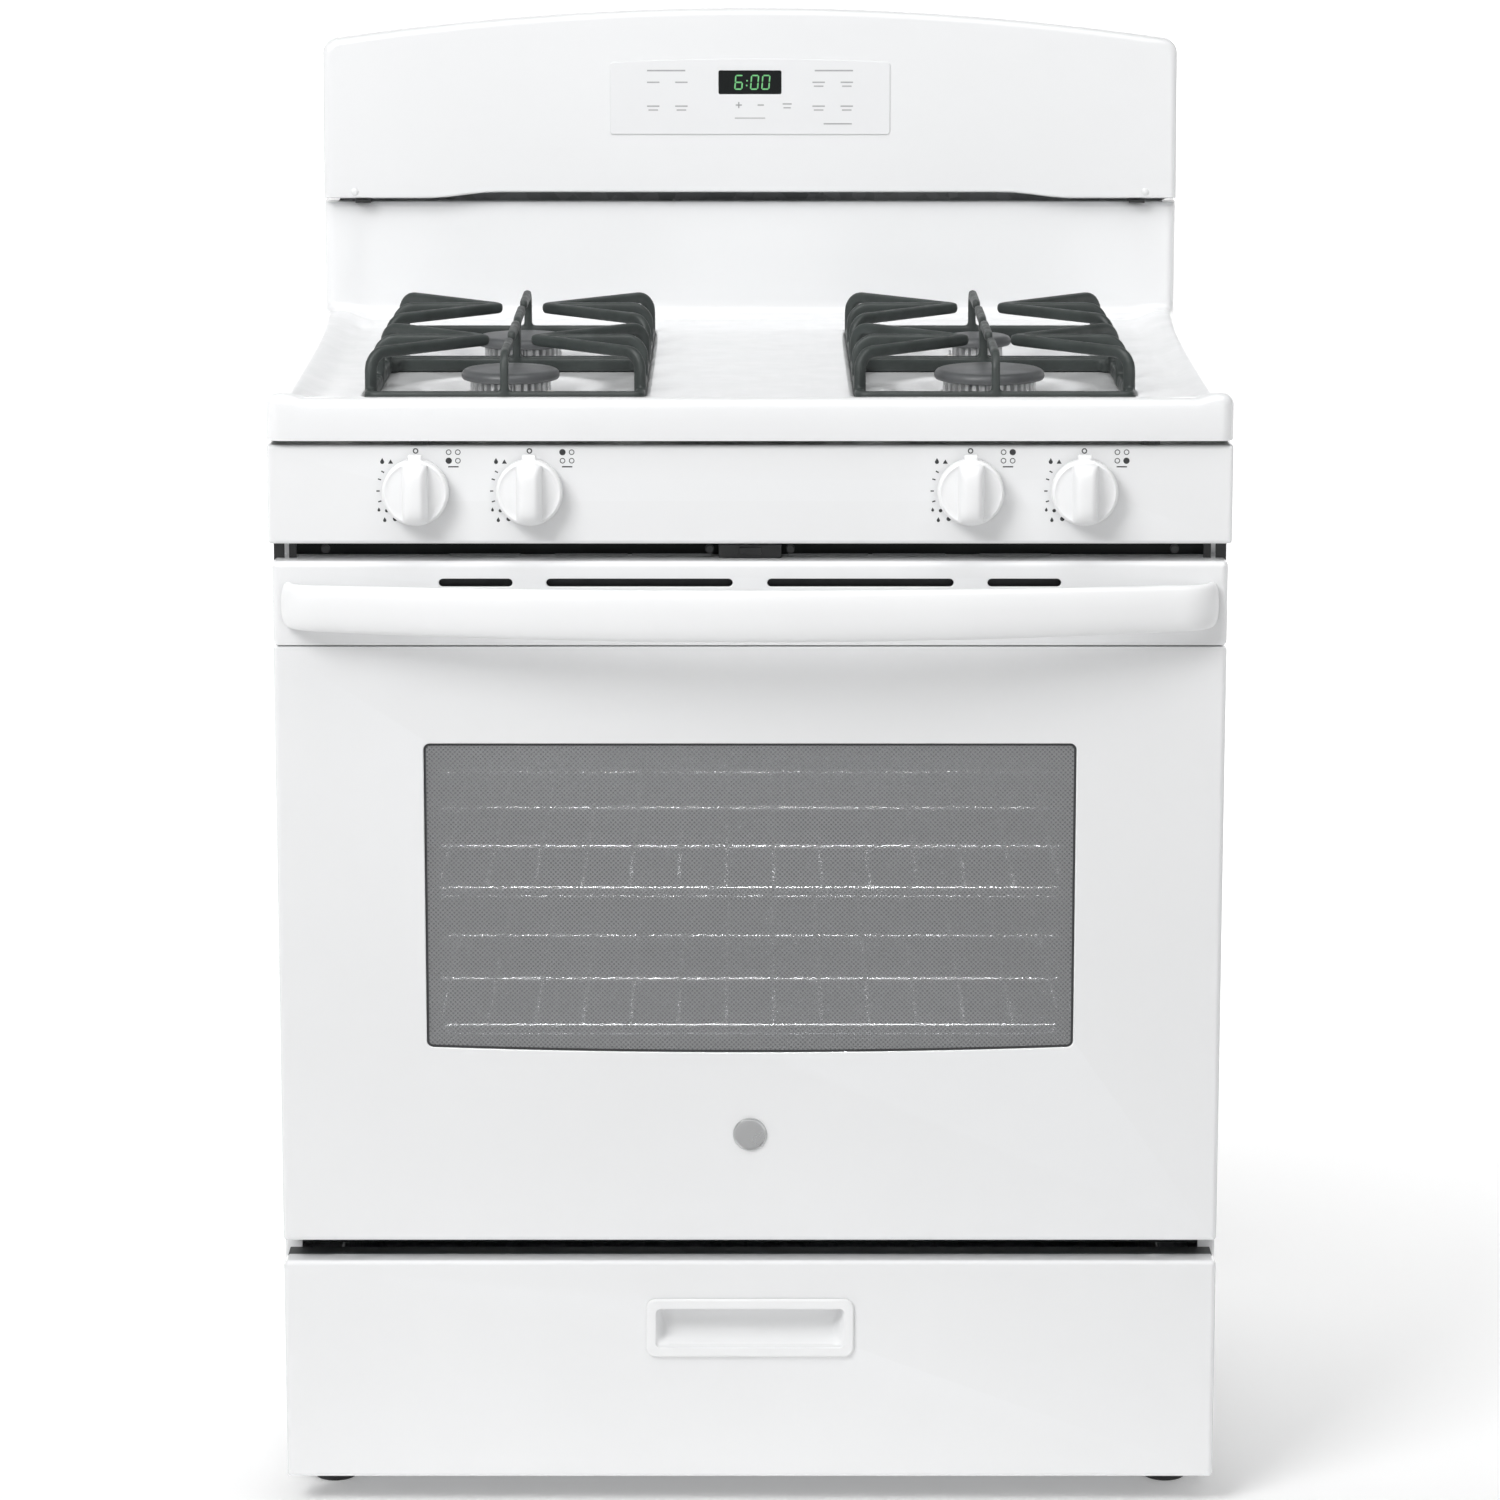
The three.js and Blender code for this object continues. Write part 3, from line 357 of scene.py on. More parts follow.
def round_over(depth, face, radius, steps=5):
    """Rings (inset, y) from a wall's back edge to its front face, over a quarter round."""
    rings = [(0.0, depth)]
    for i in range(steps + 1):
        turn = math.pi / 2 * i / steps
        rings.append((radius * (1 - math.cos(turn)), face + radius * (1 - math.sin(turn))))
    return rings


def join_loops(mesh, near, far):
    """Faces between two closed loops of vertices."""
    count = len(near)
    for i in range(count):
        j = (i + 1) % count
        mesh.faces.new((near[i], near[j], far[j], far[i]))


def join_rows(mesh, near, far):
    """Faces between two open rows of vertices."""
    for i in range(len(near) - 1):
        mesh.faces.new((near[i], near[i + 1], far[i + 1], far[i]))


def facing_front(x, y, z):
    """Places a turned part at a point, with its axis towards the front."""
    return Matrix.Translation((x, y, z)) @ Matrix.Rotation(math.pi / 2, 4, "X")


def facing_back(x, y, z):
    return Matrix.Translation((x, y, z)) @ Matrix.Rotation(-math.pi / 2, 4, "X")


def about(centre, half):
    """The (low, high) pair that reaches half to each side of a centre."""
    return centre - half, centre + half


def on_side(side, inner, outer):
    """The (low, high) pair between two distances from the middle, on one side of it."""
    return sorted((side * inner, side * outer))


def add_rings(mesh, outline, rings):
    """Joins the outline at each (inset, y) ring; returns the last ring's edges and all the rings."""
    loops = [[mesh.verts.new((x, y, z)) for x, z in outline(inset)] for inset, y in rings]
    for near, far in zip(loops, loops[1:]):
        join_loops(mesh, near, far)
    return loop_edges(mesh, loops[-1]), loops


def loop_edges(mesh, loop):
    edges = []
    for i, vertex in enumerate(loop):
        pair = (vertex, loop[(i + 1) % len(loop)])
        edges.append(mesh.edges.get(pair) or mesh.edges.new(pair))
    return edges


def pressing(outline, rings, holes=()):
    """A pressed front: a rim of rings round a flat face, with holes that have rims of their own."""
    mesh = bmesh.new()
    edges, loops = add_rings(mesh, outline, rings)
    for hole, rim in holes:
        more, _ = add_rings(mesh, hole, rim)
        edges += more
    if holes:
        bmesh.ops.triangle_fill(mesh, use_beauty=True, edges=edges)
    else:
        mesh.faces.new(loops[-1])
    face_forward(mesh)
    return mesh


def face_forward(mesh, direction=(0, -1, 0)):
    """Makes the faces agree, with the largest one looking the given way."""
    bmesh.ops.recalc_face_normals(mesh, faces=mesh.faces)
    mesh.normal_update()
    largest = max(mesh.faces, key=lambda f: f.calc_area())
    if largest.normal.dot(Vector(direction)) < 0:
        bmesh.ops.reverse_faces(mesh, faces=mesh.faces)


def hole_rings(face, depth, radius=1.2, steps=3):
    """Rings of a hole's rim, from deep inside to the face; the insets grow the hole."""
    rings = [(0.0, depth)]
    for i in range(steps + 1):
        turn = math.pi / 2 * i / steps
        rings.append((-radius * (1 - math.cos(turn)), face + radius * (1 - math.sin(turn))))
    return rings


def add_block(mesh, x, y, z, edge, segments=2):
    """A block with rounded edges."""
    size = [abs(pair[1] - pair[0]) for pair in (x, y, z)]
    place = Matrix.Translation((middle(x), middle(y), middle(z))) @ Matrix.Diagonal((*size, 1.0))
    made = bmesh.ops.create_cube(mesh, size=1.0, matrix=place)
    edges = list({e for v in made["verts"] for e in v.link_edges})
    offset = min(edge, min(size) * 0.45)
    bmesh.ops.bevel(mesh, geom=edges, offset=offset, segments=segments, affect="EDGES", profile=0.5)


def add_lathe(mesh, profile, steps, place, radius_at=None):
    """Turns a profile of (radius, height) about Z; radius_at(angle, index, radius) may shape it."""
    rows = []
    for index, (radius, height) in enumerate(profile):
        if radius < 1e-6:
            rows.append([mesh.verts.new(place @ Vector((0, 0, height)))])
            continue
        row = []
        for i in range(steps):
            turn = 2 * math.pi * i / steps
            r = radius_at(turn, index, radius) if radius_at else radius
            row.append(mesh.verts.new(place @ Vector((r * math.cos(turn), r * math.sin(turn), height))))
        rows.append(row)
    for low, high in zip(rows, rows[1:]):
        for i in range(steps):
            j = (i + 1) % steps
            corners = [low[i % len(low)], low[j % len(low)], high[j % len(high)], high[i % len(high)]]
            ring = list(dict.fromkeys(corners))
            if len(ring) > 2:
                mesh.faces.new(ring)


def add_sweep(mesh, points, section, up=(0, 0, 1), scales=None, across=None):
    """Carries a closed section of (across, up) pairs along points; across may be kept the same."""
    points = [Vector(p) for p in points]
    rows = []
    for i, point in enumerate(points):
        ahead = points[min(i + 1, len(points) - 1)]
        behind = points[max(i - 1, 0)]
        along = (ahead - behind).normalized()
        aside = Vector(across) if across else along.cross(Vector(up)).normalized()
        rise = aside.cross(along).normalized()
        a, b = scales[i] if scales else (1.0, 1.0)
        rows.append([mesh.verts.new(point + aside * u * a + rise * v * b) for u, v in section])
    for near, far in zip(rows, rows[1:]):
        join_loops(mesh, near, far)
    mesh.faces.new(rows[0])
    mesh.faces.new(rows[-1])


def oval(half_across, half_up, steps=16, power=2.0):
    """A section between an ellipse (power 2) and a rectangle (large power)."""
    points = []
    for i in range(steps):
        turn = 2 * math.pi * i / steps
        c, s = math.cos(turn), math.sin(turn)
        points.append((
            half_across * math.copysign(abs(c) ** (2 / power), c),
            half_up * math.copysign(abs(s) ** (2 / power), s),
        ))
    return points


# ---- Cooktop --------------------------------------------------------------------------------------
SIDE_RISE = 8                   # the side rims stand this far over the deck
SIDE_FLAT = (14, 30)            # a side rim is level this far in, then falls over this width
FRONT_RISE = 4.2
FRONT_FLAT = (12, 20)
DECK = 911
WELL_FLOOR = 903
WELL_WALL = 7                   # width of the slope round a well
WELL_ROOM = (2.5, 3)            # the wells are this much larger than the grates, across and along
BOWL_DEPTH = 11
BOWL_RIM = 88                   # radius at which a bowl begins to fall
BOWL_SLOPE = 34                 # width of its slope
RISER_FACE = 270
COVE = 16                       # radius between the deck and the riser
LIP = 5                         # rounding at the riser's top
LIP_REACH = 12
EDGE = 9                        # rounding of the cooktop's outer edges
CORNER = 12


def burner_places():
    return {name: tuple(middle(pair) for pair in extent(f"{name}_burner_cap")[:2]) for name in STATIONS}


def well_boxes():
    """Each side's well holds the front grate and the rear one."""
    boxes = []
    for side, _ in SIDES:
        front, rear = extent(f"{side}_front_grate"), extent(f"{side}_rear_grate")
        across, along = WELL_ROOM
        boxes.append((
            (front[0][0] - across, front[0][1] + across),
            (front[1][0] - along, rear[1][1] + along),
        ))
    return boxes


def depth_in_box(x, y, box, radius=16):
    """How far a point is inside a rectangle with round corners, negative outside."""
    (x0, x1), (y0, y1) = box
    dx = abs(x - (x0 + x1) / 2) - (x1 - x0) / 2 + radius
    dy = abs(y - (y0 + y1) / 2) - (y1 - y0) / 2 + radius
    outside = math.hypot(max(dx, 0), max(dy, 0)) + min(max(dx, dy), 0)
    return radius - outside


def spaced(low, high, step):
    count = max(1, round((high - low) / step))
    return [low + (high - low) * i / count for i in range(count + 1)]


def grid_lines(low, high, fine_spots, coarse=5.0, fine=1.6, reach=11):
    """Coordinates from low to high, close together near the fine spots."""
    values = spaced(low, high, coarse)
    for spot in fine_spots:
        a, b = max(low, spot - reach), min(high, spot + reach)
        values = [v for v in values if v < a or v > b] + spaced(a, b, fine)
    values = sorted(set(round(v, 4) for v in values))
    kept = [values[0]]
    for v in values[1:]:
        if v - kept[-1] > 0.4:
            kept.append(v)
    kept[-1] = high
    return kept


def cooktop():
    (left, right), (front, back), (low, top) = extent("cooktop")
    half = right
    wells = well_boxes()
    places = list(burner_places().values())
    rounding = [EDGE * (1 - math.cos(math.pi / 2 * i / 5)) for i in range(5)]
    xs = grid_lines(EDGE - half, half - EDGE, [e for box in wells for e in box[0]])
    xs = [-half + r for r in rounding] + xs + [half - r for r in reversed(rounding)]
    ys = grid_lines(front + EDGE, RISER_FACE - COVE, wells[0][1])
    ys = [front + r for r in rounding] + ys

    def profile():
        """(y, z, normal) up the deck, the cove and the riser."""
        steps = [(y, DECK, 0.0) for y in ys]
        for i in range(1, 7):
            turn = math.pi / 2 * i / 6
            steps.append((RISER_FACE - COVE * (1 - math.sin(turn)), DECK + COVE * (1 - math.cos(turn)), turn))
        for z in spaced(DECK + COVE, top - LIP, 20)[1:]:
            steps.append((RISER_FACE, z, math.pi / 2))
        for i in range(1, 5):
            turn = math.pi / 2 * i / 4
            y = RISER_FACE + LIP * (1 - math.cos(turn))
            steps.append((y, top - LIP + LIP * math.sin(turn), math.pi / 2))
        steps.append((RISER_FACE + LIP_REACH, top, math.pi / 2))
        return steps

    def from_edge(x, y, flat):
        side = half - abs(x)
        if not flat:
            return side
        ahead = y - front
        if side < CORNER and ahead < CORNER:
            return CORNER - math.hypot(CORNER - side, CORNER - ahead)
        return min(side, ahead)

    def lift(x, y, tilt):
        flat = tilt < 1e-6
        edge = max(0.0, from_edge(x, y, flat))
        side_rise = SIDE_RISE * (1 - blend((half - abs(x) - SIDE_FLAT[0]) / SIDE_FLAT[1]))
        front_fall = blend((y - front - FRONT_FLAT[0]) / FRONT_FLAT[1])
        front_rise = FRONT_RISE * (1 - front_fall) if flat else 0.0
        rise = max(side_rise, front_rise) * (1 - 0.75 * blend(tilt / (math.pi / 2)))
        if edge < EDGE:
            rise -= EDGE - math.sqrt(EDGE * EDGE - (EDGE - edge) ** 2)
        if flat:
            for box in wells:
                rise -= (DECK - WELL_FLOOR) * blend(depth_in_box(x, y, box) / WELL_WALL)
            for bx, by in places:
                rise -= BOWL_DEPTH * blend((BOWL_RIM - math.hypot(x - bx, y - by)) / BOWL_SLOPE)
        return rise

    def in_corner(x, y):
        """Pulls the grid's front corners in to a quarter round."""
        side, ahead = half - abs(x), y - front
        if side >= CORNER or ahead >= CORNER:
            return x, y
        u, v = (CORNER - side) / CORNER, (CORNER - ahead) / CORNER
        a = u * math.sqrt(1 - v * v / 2) * CORNER
        b = v * math.sqrt(1 - u * u / 2) * CORNER
        return math.copysign(half - CORNER + a, x), front + CORNER - b

    mesh = bmesh.new()
    rows = []
    steps = profile()
    for y, z, tilt in steps:
        row = []
        for x in xs:
            px, py = in_corner(x, y) if tilt == 0 else (x, y)
            h = lift(px, py, tilt)
            row.append(mesh.verts.new((px, py - h * math.sin(tilt), z + h * math.cos(tilt))))
        rows.append(row)
    for near, far in zip(rows, rows[1:]):
        join_rows(mesh, near, far)
    flat_rows = len(ys)
    deck_rows = rows[:flat_rows]
    skirt = [row[0] for row in reversed(deck_rows)] + rows[0][1:-1] + [row[-1] for row in deck_rows]
    hem = [mesh.verts.new((v.co.x, v.co.y, low)) for v in skirt]
    for a, b, c, d in zip(skirt, skirt[1:], hem[1:], hem):
        mesh.faces.new((a, b, c, d))
    for column, side, low_corner in ((0, left, hem[0]), (-1, right, hem[-1])):
        edge = [row[column] for row in rows[flat_rows - 1:]]
        corners = [mesh.verts.new((side, back, top)), mesh.verts.new((side, back, low))]
        mesh.faces.new(edge + corners + [low_corner])
    bmesh.ops.recalc_face_normals(mesh, faces=mesh.faces)
    ensure_up(mesh, (0, middle((front, RISER_FACE)), DECK))
    piece = finish_mesh(mesh, "cooktop_pressing", ENAMEL, "chassis", sharp=50, sheet=SHEET)
    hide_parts("cooktop")


def ensure_up(mesh, near):
    """Flips the faces if the one nearest to a point looks down."""
    mesh.normal_update()
    spot = Vector(near)
    face = min(mesh.faces, key=lambda f: (f.calc_center_median() - spot).length)
    if face.normal.z < 0:
        bmesh.ops.reverse_faces(mesh, faces=mesh.faces)


cooktop()


# ---- Knob panel and knobs -------------------------------------------------------------------------
STEM_HOLE = 7.5                 # radius of the hole for a valve's stem
KNOB_RING = 31.5                # radius of the printed scale
MARK = 0.07                     # thickness of printed ink
OFF_MARK = (31.4, 2.2, 0.9)     # the ring for off: its height over the axis, radius and line width
STROKES = (150.5, 163, 181, 197)    # directions of the scale's strokes, in degrees
LOW_DOTS = ((-23.3, -16.2, 1.4), (-16.8, -22.8, 1.8))   # each (across, up, radius)
FLAMES = ((-26.4, 22.6, 3.2), (-29.5, -15.8, 2.2), (-25, -24, 2.6))     # each (across, up, size)
WEDGE = (-19.8, 22.4, 2.3)      # (across, up, radius)
PLACE_MARK = (29.6, 27)         # middle of the four rings that show the burner's place
PLACE_STEP = (3.6, 3.4)


def knob_centres():
    """Each valve stem's axis as (x, z)."""
    return {name: tuple(middle(extent(f"{name}_valve_stem")[i]) for i in (0, 2)) for name in STATIONS}


def knob_panel():
    (_, right), (face, back), (low, high) = extent("knob_panel")
    outline = round_box(right, low, high, 2.5)
    rim = hole_rings(face, face + 2)
    holes = [(circle_outline(x, z, STEM_HOLE), rim) for x, z in knob_centres().values()]
    mesh = pressing(outline, round_over(back, face, 3.5), holes)
    piece = finish_mesh(mesh, "knob_panel_pressing", ENAMEL, "chassis", sheet=SHEET)
    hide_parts("knob_panel")


def add_plate(mesh, points, back, thick=MARK):
    """A thin raised print: a closed outline of (x, z) standing out of the surface at y = back."""
    near = [mesh.verts.new((x, back, z)) for x, z in points]
    far = [mesh.verts.new((x, back - thick, z)) for x, z in points]
    join_loops(mesh, near, far)
    mesh.faces.new(near)
    mesh.faces.new(far)


def add_ring(mesh, x, z, radius, width, back, steps=20):
    """A printed circle line."""
    circle = circle_outline(x, z, radius, steps)
    near = [[mesh.verts.new((px, back, pz)) for px, pz in circle(inset)] for inset in (0, width)]
    far = [[mesh.verts.new((px, back - MARK, pz)) for px, pz in circle(inset)] for inset in (0, width)]
    for a, b in (far, near, (near[0], far[0]), (near[1], far[1])):
        join_loops(mesh, a, b)


def bar_points(x, z, angle, inner, outer, width):
    """A short printed stroke along a radius of the scale."""
    a, b = Vector(polar(x, z, inner, angle)), Vector(polar(x, z, outer, angle))
    across = Vector((-(b - a).y, (b - a).x)).normalized() * width / 2
    return [tuple(p) for p in (a + across, b + across, b - across, a - across)]


def flame_outline(x, z, size):
    """A small generic flame: a drop with a point at its top."""
    points = [polar(x, z, size * 0.5, angle) for angle in range(150, 391, 24)]
    return points + [(x, z + size)]


def knob_marks(name, x, z, face):
    """A ring for off, a wedge for high, a scale of strokes, low dots, flames and the burner's place."""
    mesh = bmesh.new()
    rise, radius, width = OFF_MARK
    add_ring(mesh, x, z + rise, radius, width, face)
    for angle in STROKES:
        add_plate(mesh, bar_points(x, z, angle, KNOB_RING - 2.8, KNOB_RING - 0.2, 1.0), face)
    dx, dz, radius = WEDGE
    add_plate(mesh, [polar(x + dx, z + dz, radius, turn) for turn in (90, 210, 330)], face)
    for dx, dz, radius in LOW_DOTS:
        add_plate(mesh, circle_outline(x + dx, z + dz, radius, 16)(0), face)
    for dx, dz, size in FLAMES:
        add_plate(mesh, flame_outline(x + dx, z + dz, size), face)
    for column, side in SIDES:
        for row, rise in (("front", -1), ("rear", 1)):
            place = (x + PLACE_MARK[0] + PLACE_STEP[0] * side, z + PLACE_MARK[1] + PLACE_STEP[1] * rise)
            if name == f"{column}_{row}":
                add_plate(mesh, circle_outline(*place, 2.5, 20)(0), face)
            else:
                add_ring(mesh, *place, 2.2, 0.65, face)
    add_plate(mesh, bar_points(x + 25.5, z + 18.8, 0, 0, 8.2, 1.0), face)
    finish_mesh(mesh, f"{name}_knob_marks", INK, "chassis", smooth=False)


GRIP_FOOT = 10.4                # the ridge starts this far in front of the panel
GRIP_HALF = 10.2


def add_grip(mesh, x, z, back, radius, height):
    """A soft-edged ridge up the knob's face."""
    base, length, half = GRIP_FOOT, radius - 2.0, GRIP_HALF
    rows = []
    for i in range(25):
        along = math.sin(math.pi / 2 * (-1 + 2 * i / 24))
        body = max(0.0, 1 - abs(along) ** 5) ** (1 / 2.2)
        reach = math.sqrt(max(4.0, (radius - 1.6) ** 2 - (along * length) ** 2))
        wide = min(half, reach) * (0.9 + 0.1 * body)
        tall = (height - base) * body
        row = []
        for k in range(17):
            turn = math.pi * k / 16
            c, t = math.cos(turn), math.sin(turn)
            across = wide * math.copysign(abs(c) ** (2 / 3.4), c)
            rise = base + tall * t ** (2 / 2.5)
            row.append(mesh.verts.new((x + across, back - rise, z + along * length)))
        rows.append(row)
    for near, far in zip(rows, rows[1:]):
        join_rows(mesh, near, far)
        mesh.faces.new((near[0], far[0], far[-1], near[-1]))


def knob(name, x, z):
    """A skirted knob with a soft grip ridge and a small pointer at its rim."""
    (_, right), (tip, back), _ = extent(f"{name}_knob")
    radius = right - x
    mesh = bmesh.new()
    rim = [(0, 1.2), (radius - 2, 1.2), (radius - 0.9, 0.2), (radius - 0.3, 0.3), (radius, 0.9),
           (radius, 8.6), (radius - 0.35, 10.2), (radius - 1.2, 11.4), (radius - 2.2, 11.8),
           (radius - 3.2, 11.5), (radius - 4.4, 10.9), (radius - 7, 10.9), (radius - 14, 11.4), (0, 11.8)]
    add_lathe(mesh, rim, steps=72, place=facing_front(x, back, z))
    add_grip(mesh, x, z, back, radius, back - tip)
    pointer_top = extent(f"{name}_knob")[2][1]
    pointer = (about(x, 5.6), (back - 8.4, back - 1.2), (z + radius - 3, pointer_top))
    add_block(mesh, *pointer, edge=1.5, segments=3)
    body = f"knob_{name}"
    piece = finish_mesh(mesh, f"{name}_knob_moulding", WHITE_PLASTIC, body, sharp=35)
    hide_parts(f"{name}_knob")


def controls():
    knob_panel()
    face = extent("knob_panel")[1][0]
    for name, (x, z) in knob_centres().items():
        knob_marks(name, x, z, face + 0.01)
        knob(name, x, z)


controls()


# ---- Oven door ------------------------------------------------------------------------------------
# Dark grey: painted shade on the door trim's top, where the knob panel shades the white trim; the frame's
# slot edges share it.
SHADE_AND_SLOT_GREY = surface("shade_and_slot_grey", (0.11, 0.113, 0.117), 0.45, mottle=0.05, bump_scale=500.0, bump_mm=0.02)
BADGE_GREY = surface(
    "badge_satin", (0.55, 0.555, 0.56), 0.3, metallic=0.9, mottle=0.05, bump_scale=900.0, bump_mm=0.02,
)
WINDOW_MARGINS = (12, 18.6, 14)     # the glass reaches this far past the window: sides, below, above
WINDOW_CORNER = 5
WINDOW_SAG = 4.6                # the window's lower edge bows down this far
WINDOW_PRINT = (-6, 1.9)        # the dark edge runs from behind the panel to this far inside it
BADGE_HEIGHT = 90
HINGE_SLOT = (314, 346)         # each slot for a hinge lug runs between these distances from the middle
HINGE_SLOT_FRONT = -280
HEEL = 5                        # the lower flange stops this far short, so that the door can swing
VENTS = ((-217, 58.3), (-87.4, 147.5), (87.4, 147.5), (217, 58.3))      # each (middle, length)
VENT_HEIGHT = 6.3
VENT_DROP = 17                  # the vents are this far under the trim's top
HANDLE_THICK = 15
HANDLE_BOW = 34                 # how far the bar falls back from its middle to its ends
HANDLE_END = 32                 # length of the turn at each end, along the bar


def edged_box(half, low, high, radius, low_share=1.0, high_share=1.0, steps=5):
    """Like round_box, but the rounding of the lower and upper edges can be less."""
    def outline(inset=0.0):
        return round_box(half - inset, low + inset * low_share, high - inset * high_share,
                         max(0.2, radius - inset), steps)(0.0)
    return outline


def window_opening():
    """The hole's half width, lower corners and upper edge, from the glass behind it."""
    (_, right), _, (low, high) = extent("door_outer_glass")
    aside, below, above = WINDOW_MARGINS
    return right - aside, low + below, high - above


def window_outline(inset=0.0):
    """A round-cornered window whose lower edge bows down in the middle."""
    half, low, high = window_opening()
    half, low, high = half - inset, low + inset, high - inset
    radius = max(0.2, WINDOW_CORNER - inset)
    points = []
    for i in range(25):
        x = -half + radius + (2 * half - 2 * radius) * i / 24
        points.append((x, low - WINDOW_SAG * (1 - (x / half) ** 2)))
    corners = ((half - radius, low + radius, -90), (half - radius, high - radius, 0),
               (radius - half, high - radius, 90), (radius - half, low + radius, 180))
    for x, z, start in corners:
        steps = range(1, 6) if start == -90 else range(6)
        if start == 180:
            steps = range(5)
        for i in steps:
            points.append(polar(x, z, radius, start + 18 * i))
    return points


def open_hinge_slots(mesh, low, back):
    """Opens the lower flange for the hinge lugs and cuts its rear edge back."""
    cuts = [((side * x, 0, 0), (1, 0, 0)) for _, side in SIDES for x in HINGE_SLOT]
    cuts += [((0, y, 0), (0, 1, 0)) for y in (HINGE_SLOT_FRONT, back - HEEL)]
    for point, normal in cuts:
        flange = [face for face in mesh.faces if face.calc_center_median().z < low + 1]
        parts = flange + [part for face in flange for part in (*face.edges, *face.verts)]
        bmesh.ops.bisect_plane(mesh, geom=list(dict.fromkeys(parts)), plane_co=point, plane_no=normal)
    gone = []
    for face in mesh.faces:
        x, y, z = face.calc_center_median()
        in_slot = HINGE_SLOT[0] < abs(x) < HINGE_SLOT[1] and y > HINGE_SLOT_FRONT
        if z < low + 1 and (in_slot or y > back - HEEL):
            gone.append(face)
    bmesh.ops.delete(mesh, geom=gone, context="FACES")


def door_panel():
    (_, right), (face, back), (low, high) = extent("door_outer_panel")
    outline = edged_box(right, low, high, 3.5, high_share=0.12)
    rings = round_over(back, face, 4.5)
    mesh = pressing(outline, rings, [(window_outline, hole_rings(face, face + 2.2, 1.0))])
    open_hinge_slots(mesh, low, back)
    piece = finish_mesh(mesh, "door_panel_pressing", ENAMEL, "oven_door", sheet=SHEET)
    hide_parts("door_outer_panel")


def slot_outline(x, z, length, height, steps=6):
    def outline(inset=0.0):
        reach, radius = length / 2 - height / 2, height / 2 - inset
        points = []
        for centre, start in ((x + reach, -90), (x - reach, 90)):
            points += [polar(centre, z, radius, start + 180 * i / steps) for i in range(steps + 1)]
        return points
    return outline


def door_trim():
    (_, right), (face, back), (low, high) = extent("door_top_trim")
    outline = edged_box(right, low, high, 4.0, low_share=0.12)
    vent_z = high - VENT_DROP
    rim = hole_rings(face, face + 2.4, 0.9)
    holes = [(slot_outline(x, vent_z, length, VENT_HEIGHT), rim) for x, length in VENTS]
    mesh = pressing(outline, round_over(back, face, 5.5), holes)
    piece = finish_mesh(mesh, "door_trim_pressing", ENAMEL, "oven_door", sheet=SHEET)
    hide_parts("door_top_trim")
    # The grey strip over the trim's top is painted shade, standing for the shadow under the knob panel.
    strip = bmesh.new()
    add_block(strip, about(0, right - 9), (face + 5, back - 2), (high - 1.0, high - 0.05), edge=0.3)
    finish_mesh(strip, "door_top_painted_shade", SHADE_AND_SLOT_GREY, "oven_door")
    shade = bmesh.new()
    add_block(shade, about(0, right - 8), (face + 9, face + 10), (vent_z - 14, vent_z + 10), edge=0.3)
    finish_mesh(shade, "vent_backing", BLACK_PLASTIC, "oven_door")


def door_handle():
    """A bowed bar, a little taller in the middle, whose ends turn back into the trim."""
    (_, right), (front, back), (low, high) = extent("door_handle")
    centre, tall = middle((low, high)), (high - low) / 2
    reach = right - HANDLE_END - 6
    points, scales = [], []
    for i in range(61):
        x = reach * (2 * i / 60 - 1)
        points.append((x, front + HANDLE_THICK / 2 + HANDLE_BOW * (x / reach) ** 2, centre))
        scales.append((1.0, 1 - 0.1 * (x / reach) ** 2))
    _, y, _ = points[-1]
    drop = back - 1.5 - y
    for i in range(1, 13):
        turn = math.pi / 2 * i / 12
        x = reach + HANDLE_END * math.sin(turn)
        place = y + drop * (1 - math.cos(turn))
        scale = (1 - 0.25 * i / 12, 0.9 - 0.04 * i / 12)
        points.append((x, place, centre))
        scales.append(scale)
        points.insert(0, (-x, place, centre))
        scales.insert(0, scale)
    mesh = bmesh.new()
    add_sweep(mesh, points, oval(HANDLE_THICK / 2, tall, steps=36, power=2.5), scales=scales)
    for vertex in mesh.verts:
        vertex.co.y = min(vertex.co.y, back)
    piece = finish_mesh(mesh, "door_handle_moulding", WHITE_PLASTIC, "oven_door", sharp=60)
    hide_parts("door_handle")


def window_border():
    """The dark printed edge of the door's glass."""
    face = extent("door_outer_glass")[1][0]
    mesh = bmesh.new()
    loops = []
    outer, inner = WINDOW_PRINT
    for inset, y in ((outer, face - 0.12), (inner, face - 0.12), (inner, face - 0.02), (outer, face - 0.02)):
        loops.append([mesh.verts.new((x, y, z)) for x, z in window_outline(inset)])
    loops.append(loops[0])
    for near, far in zip(loops, loops[1:]):
        join_loops(mesh, near, far)
    finish_mesh(mesh, "window_border", INK, "oven_door", smooth=False)


def badge():
    """A plain round stud in place of a badge."""
    face, low = extent("door_outer_panel")[1][0], extent("door_outer_panel")[2][0]
    mesh = bmesh.new()
    profile = [(0, 0), (13.7, 0), (13.75, 0.8), (13.4, 1.5), (12.7, 1.8), (12.0, 1.55), (11.4, 1.3),
               (6, 1.3), (0, 1.3)]
    add_lathe(mesh, profile, steps=64, place=facing_front(0, face + 0.1, low + BADGE_HEIGHT))
    finish_mesh(mesh, "door_badge", BADGE_GREY, "oven_door", sharp=30)


def oven_door():
    door_panel()
    door_trim()
    door_handle()
    window_border()
    badge()


oven_door()


# ---- Storage drawer -------------------------------------------------------------------------------
# Near black: painted shade for the drawer's white top, deep in the gap under the door.
PAINTED_SHADE_DARK = surface("painted_shade_dark", (0.06, 0.064, 0.064), 0.5, mottle=0.08, bump_scale=500.0, bump_mm=0.02)
PULL_RIM = 8
SCOOP_CURVE = 5                 # the finger space is upright at its back, then curves out to its foot
SCOOP_HIDDEN = 1.6              # its edge starts this far behind the frame's face
DRAWER_LIP = -255               # the drawer's top flange reaches back to just in front of the body


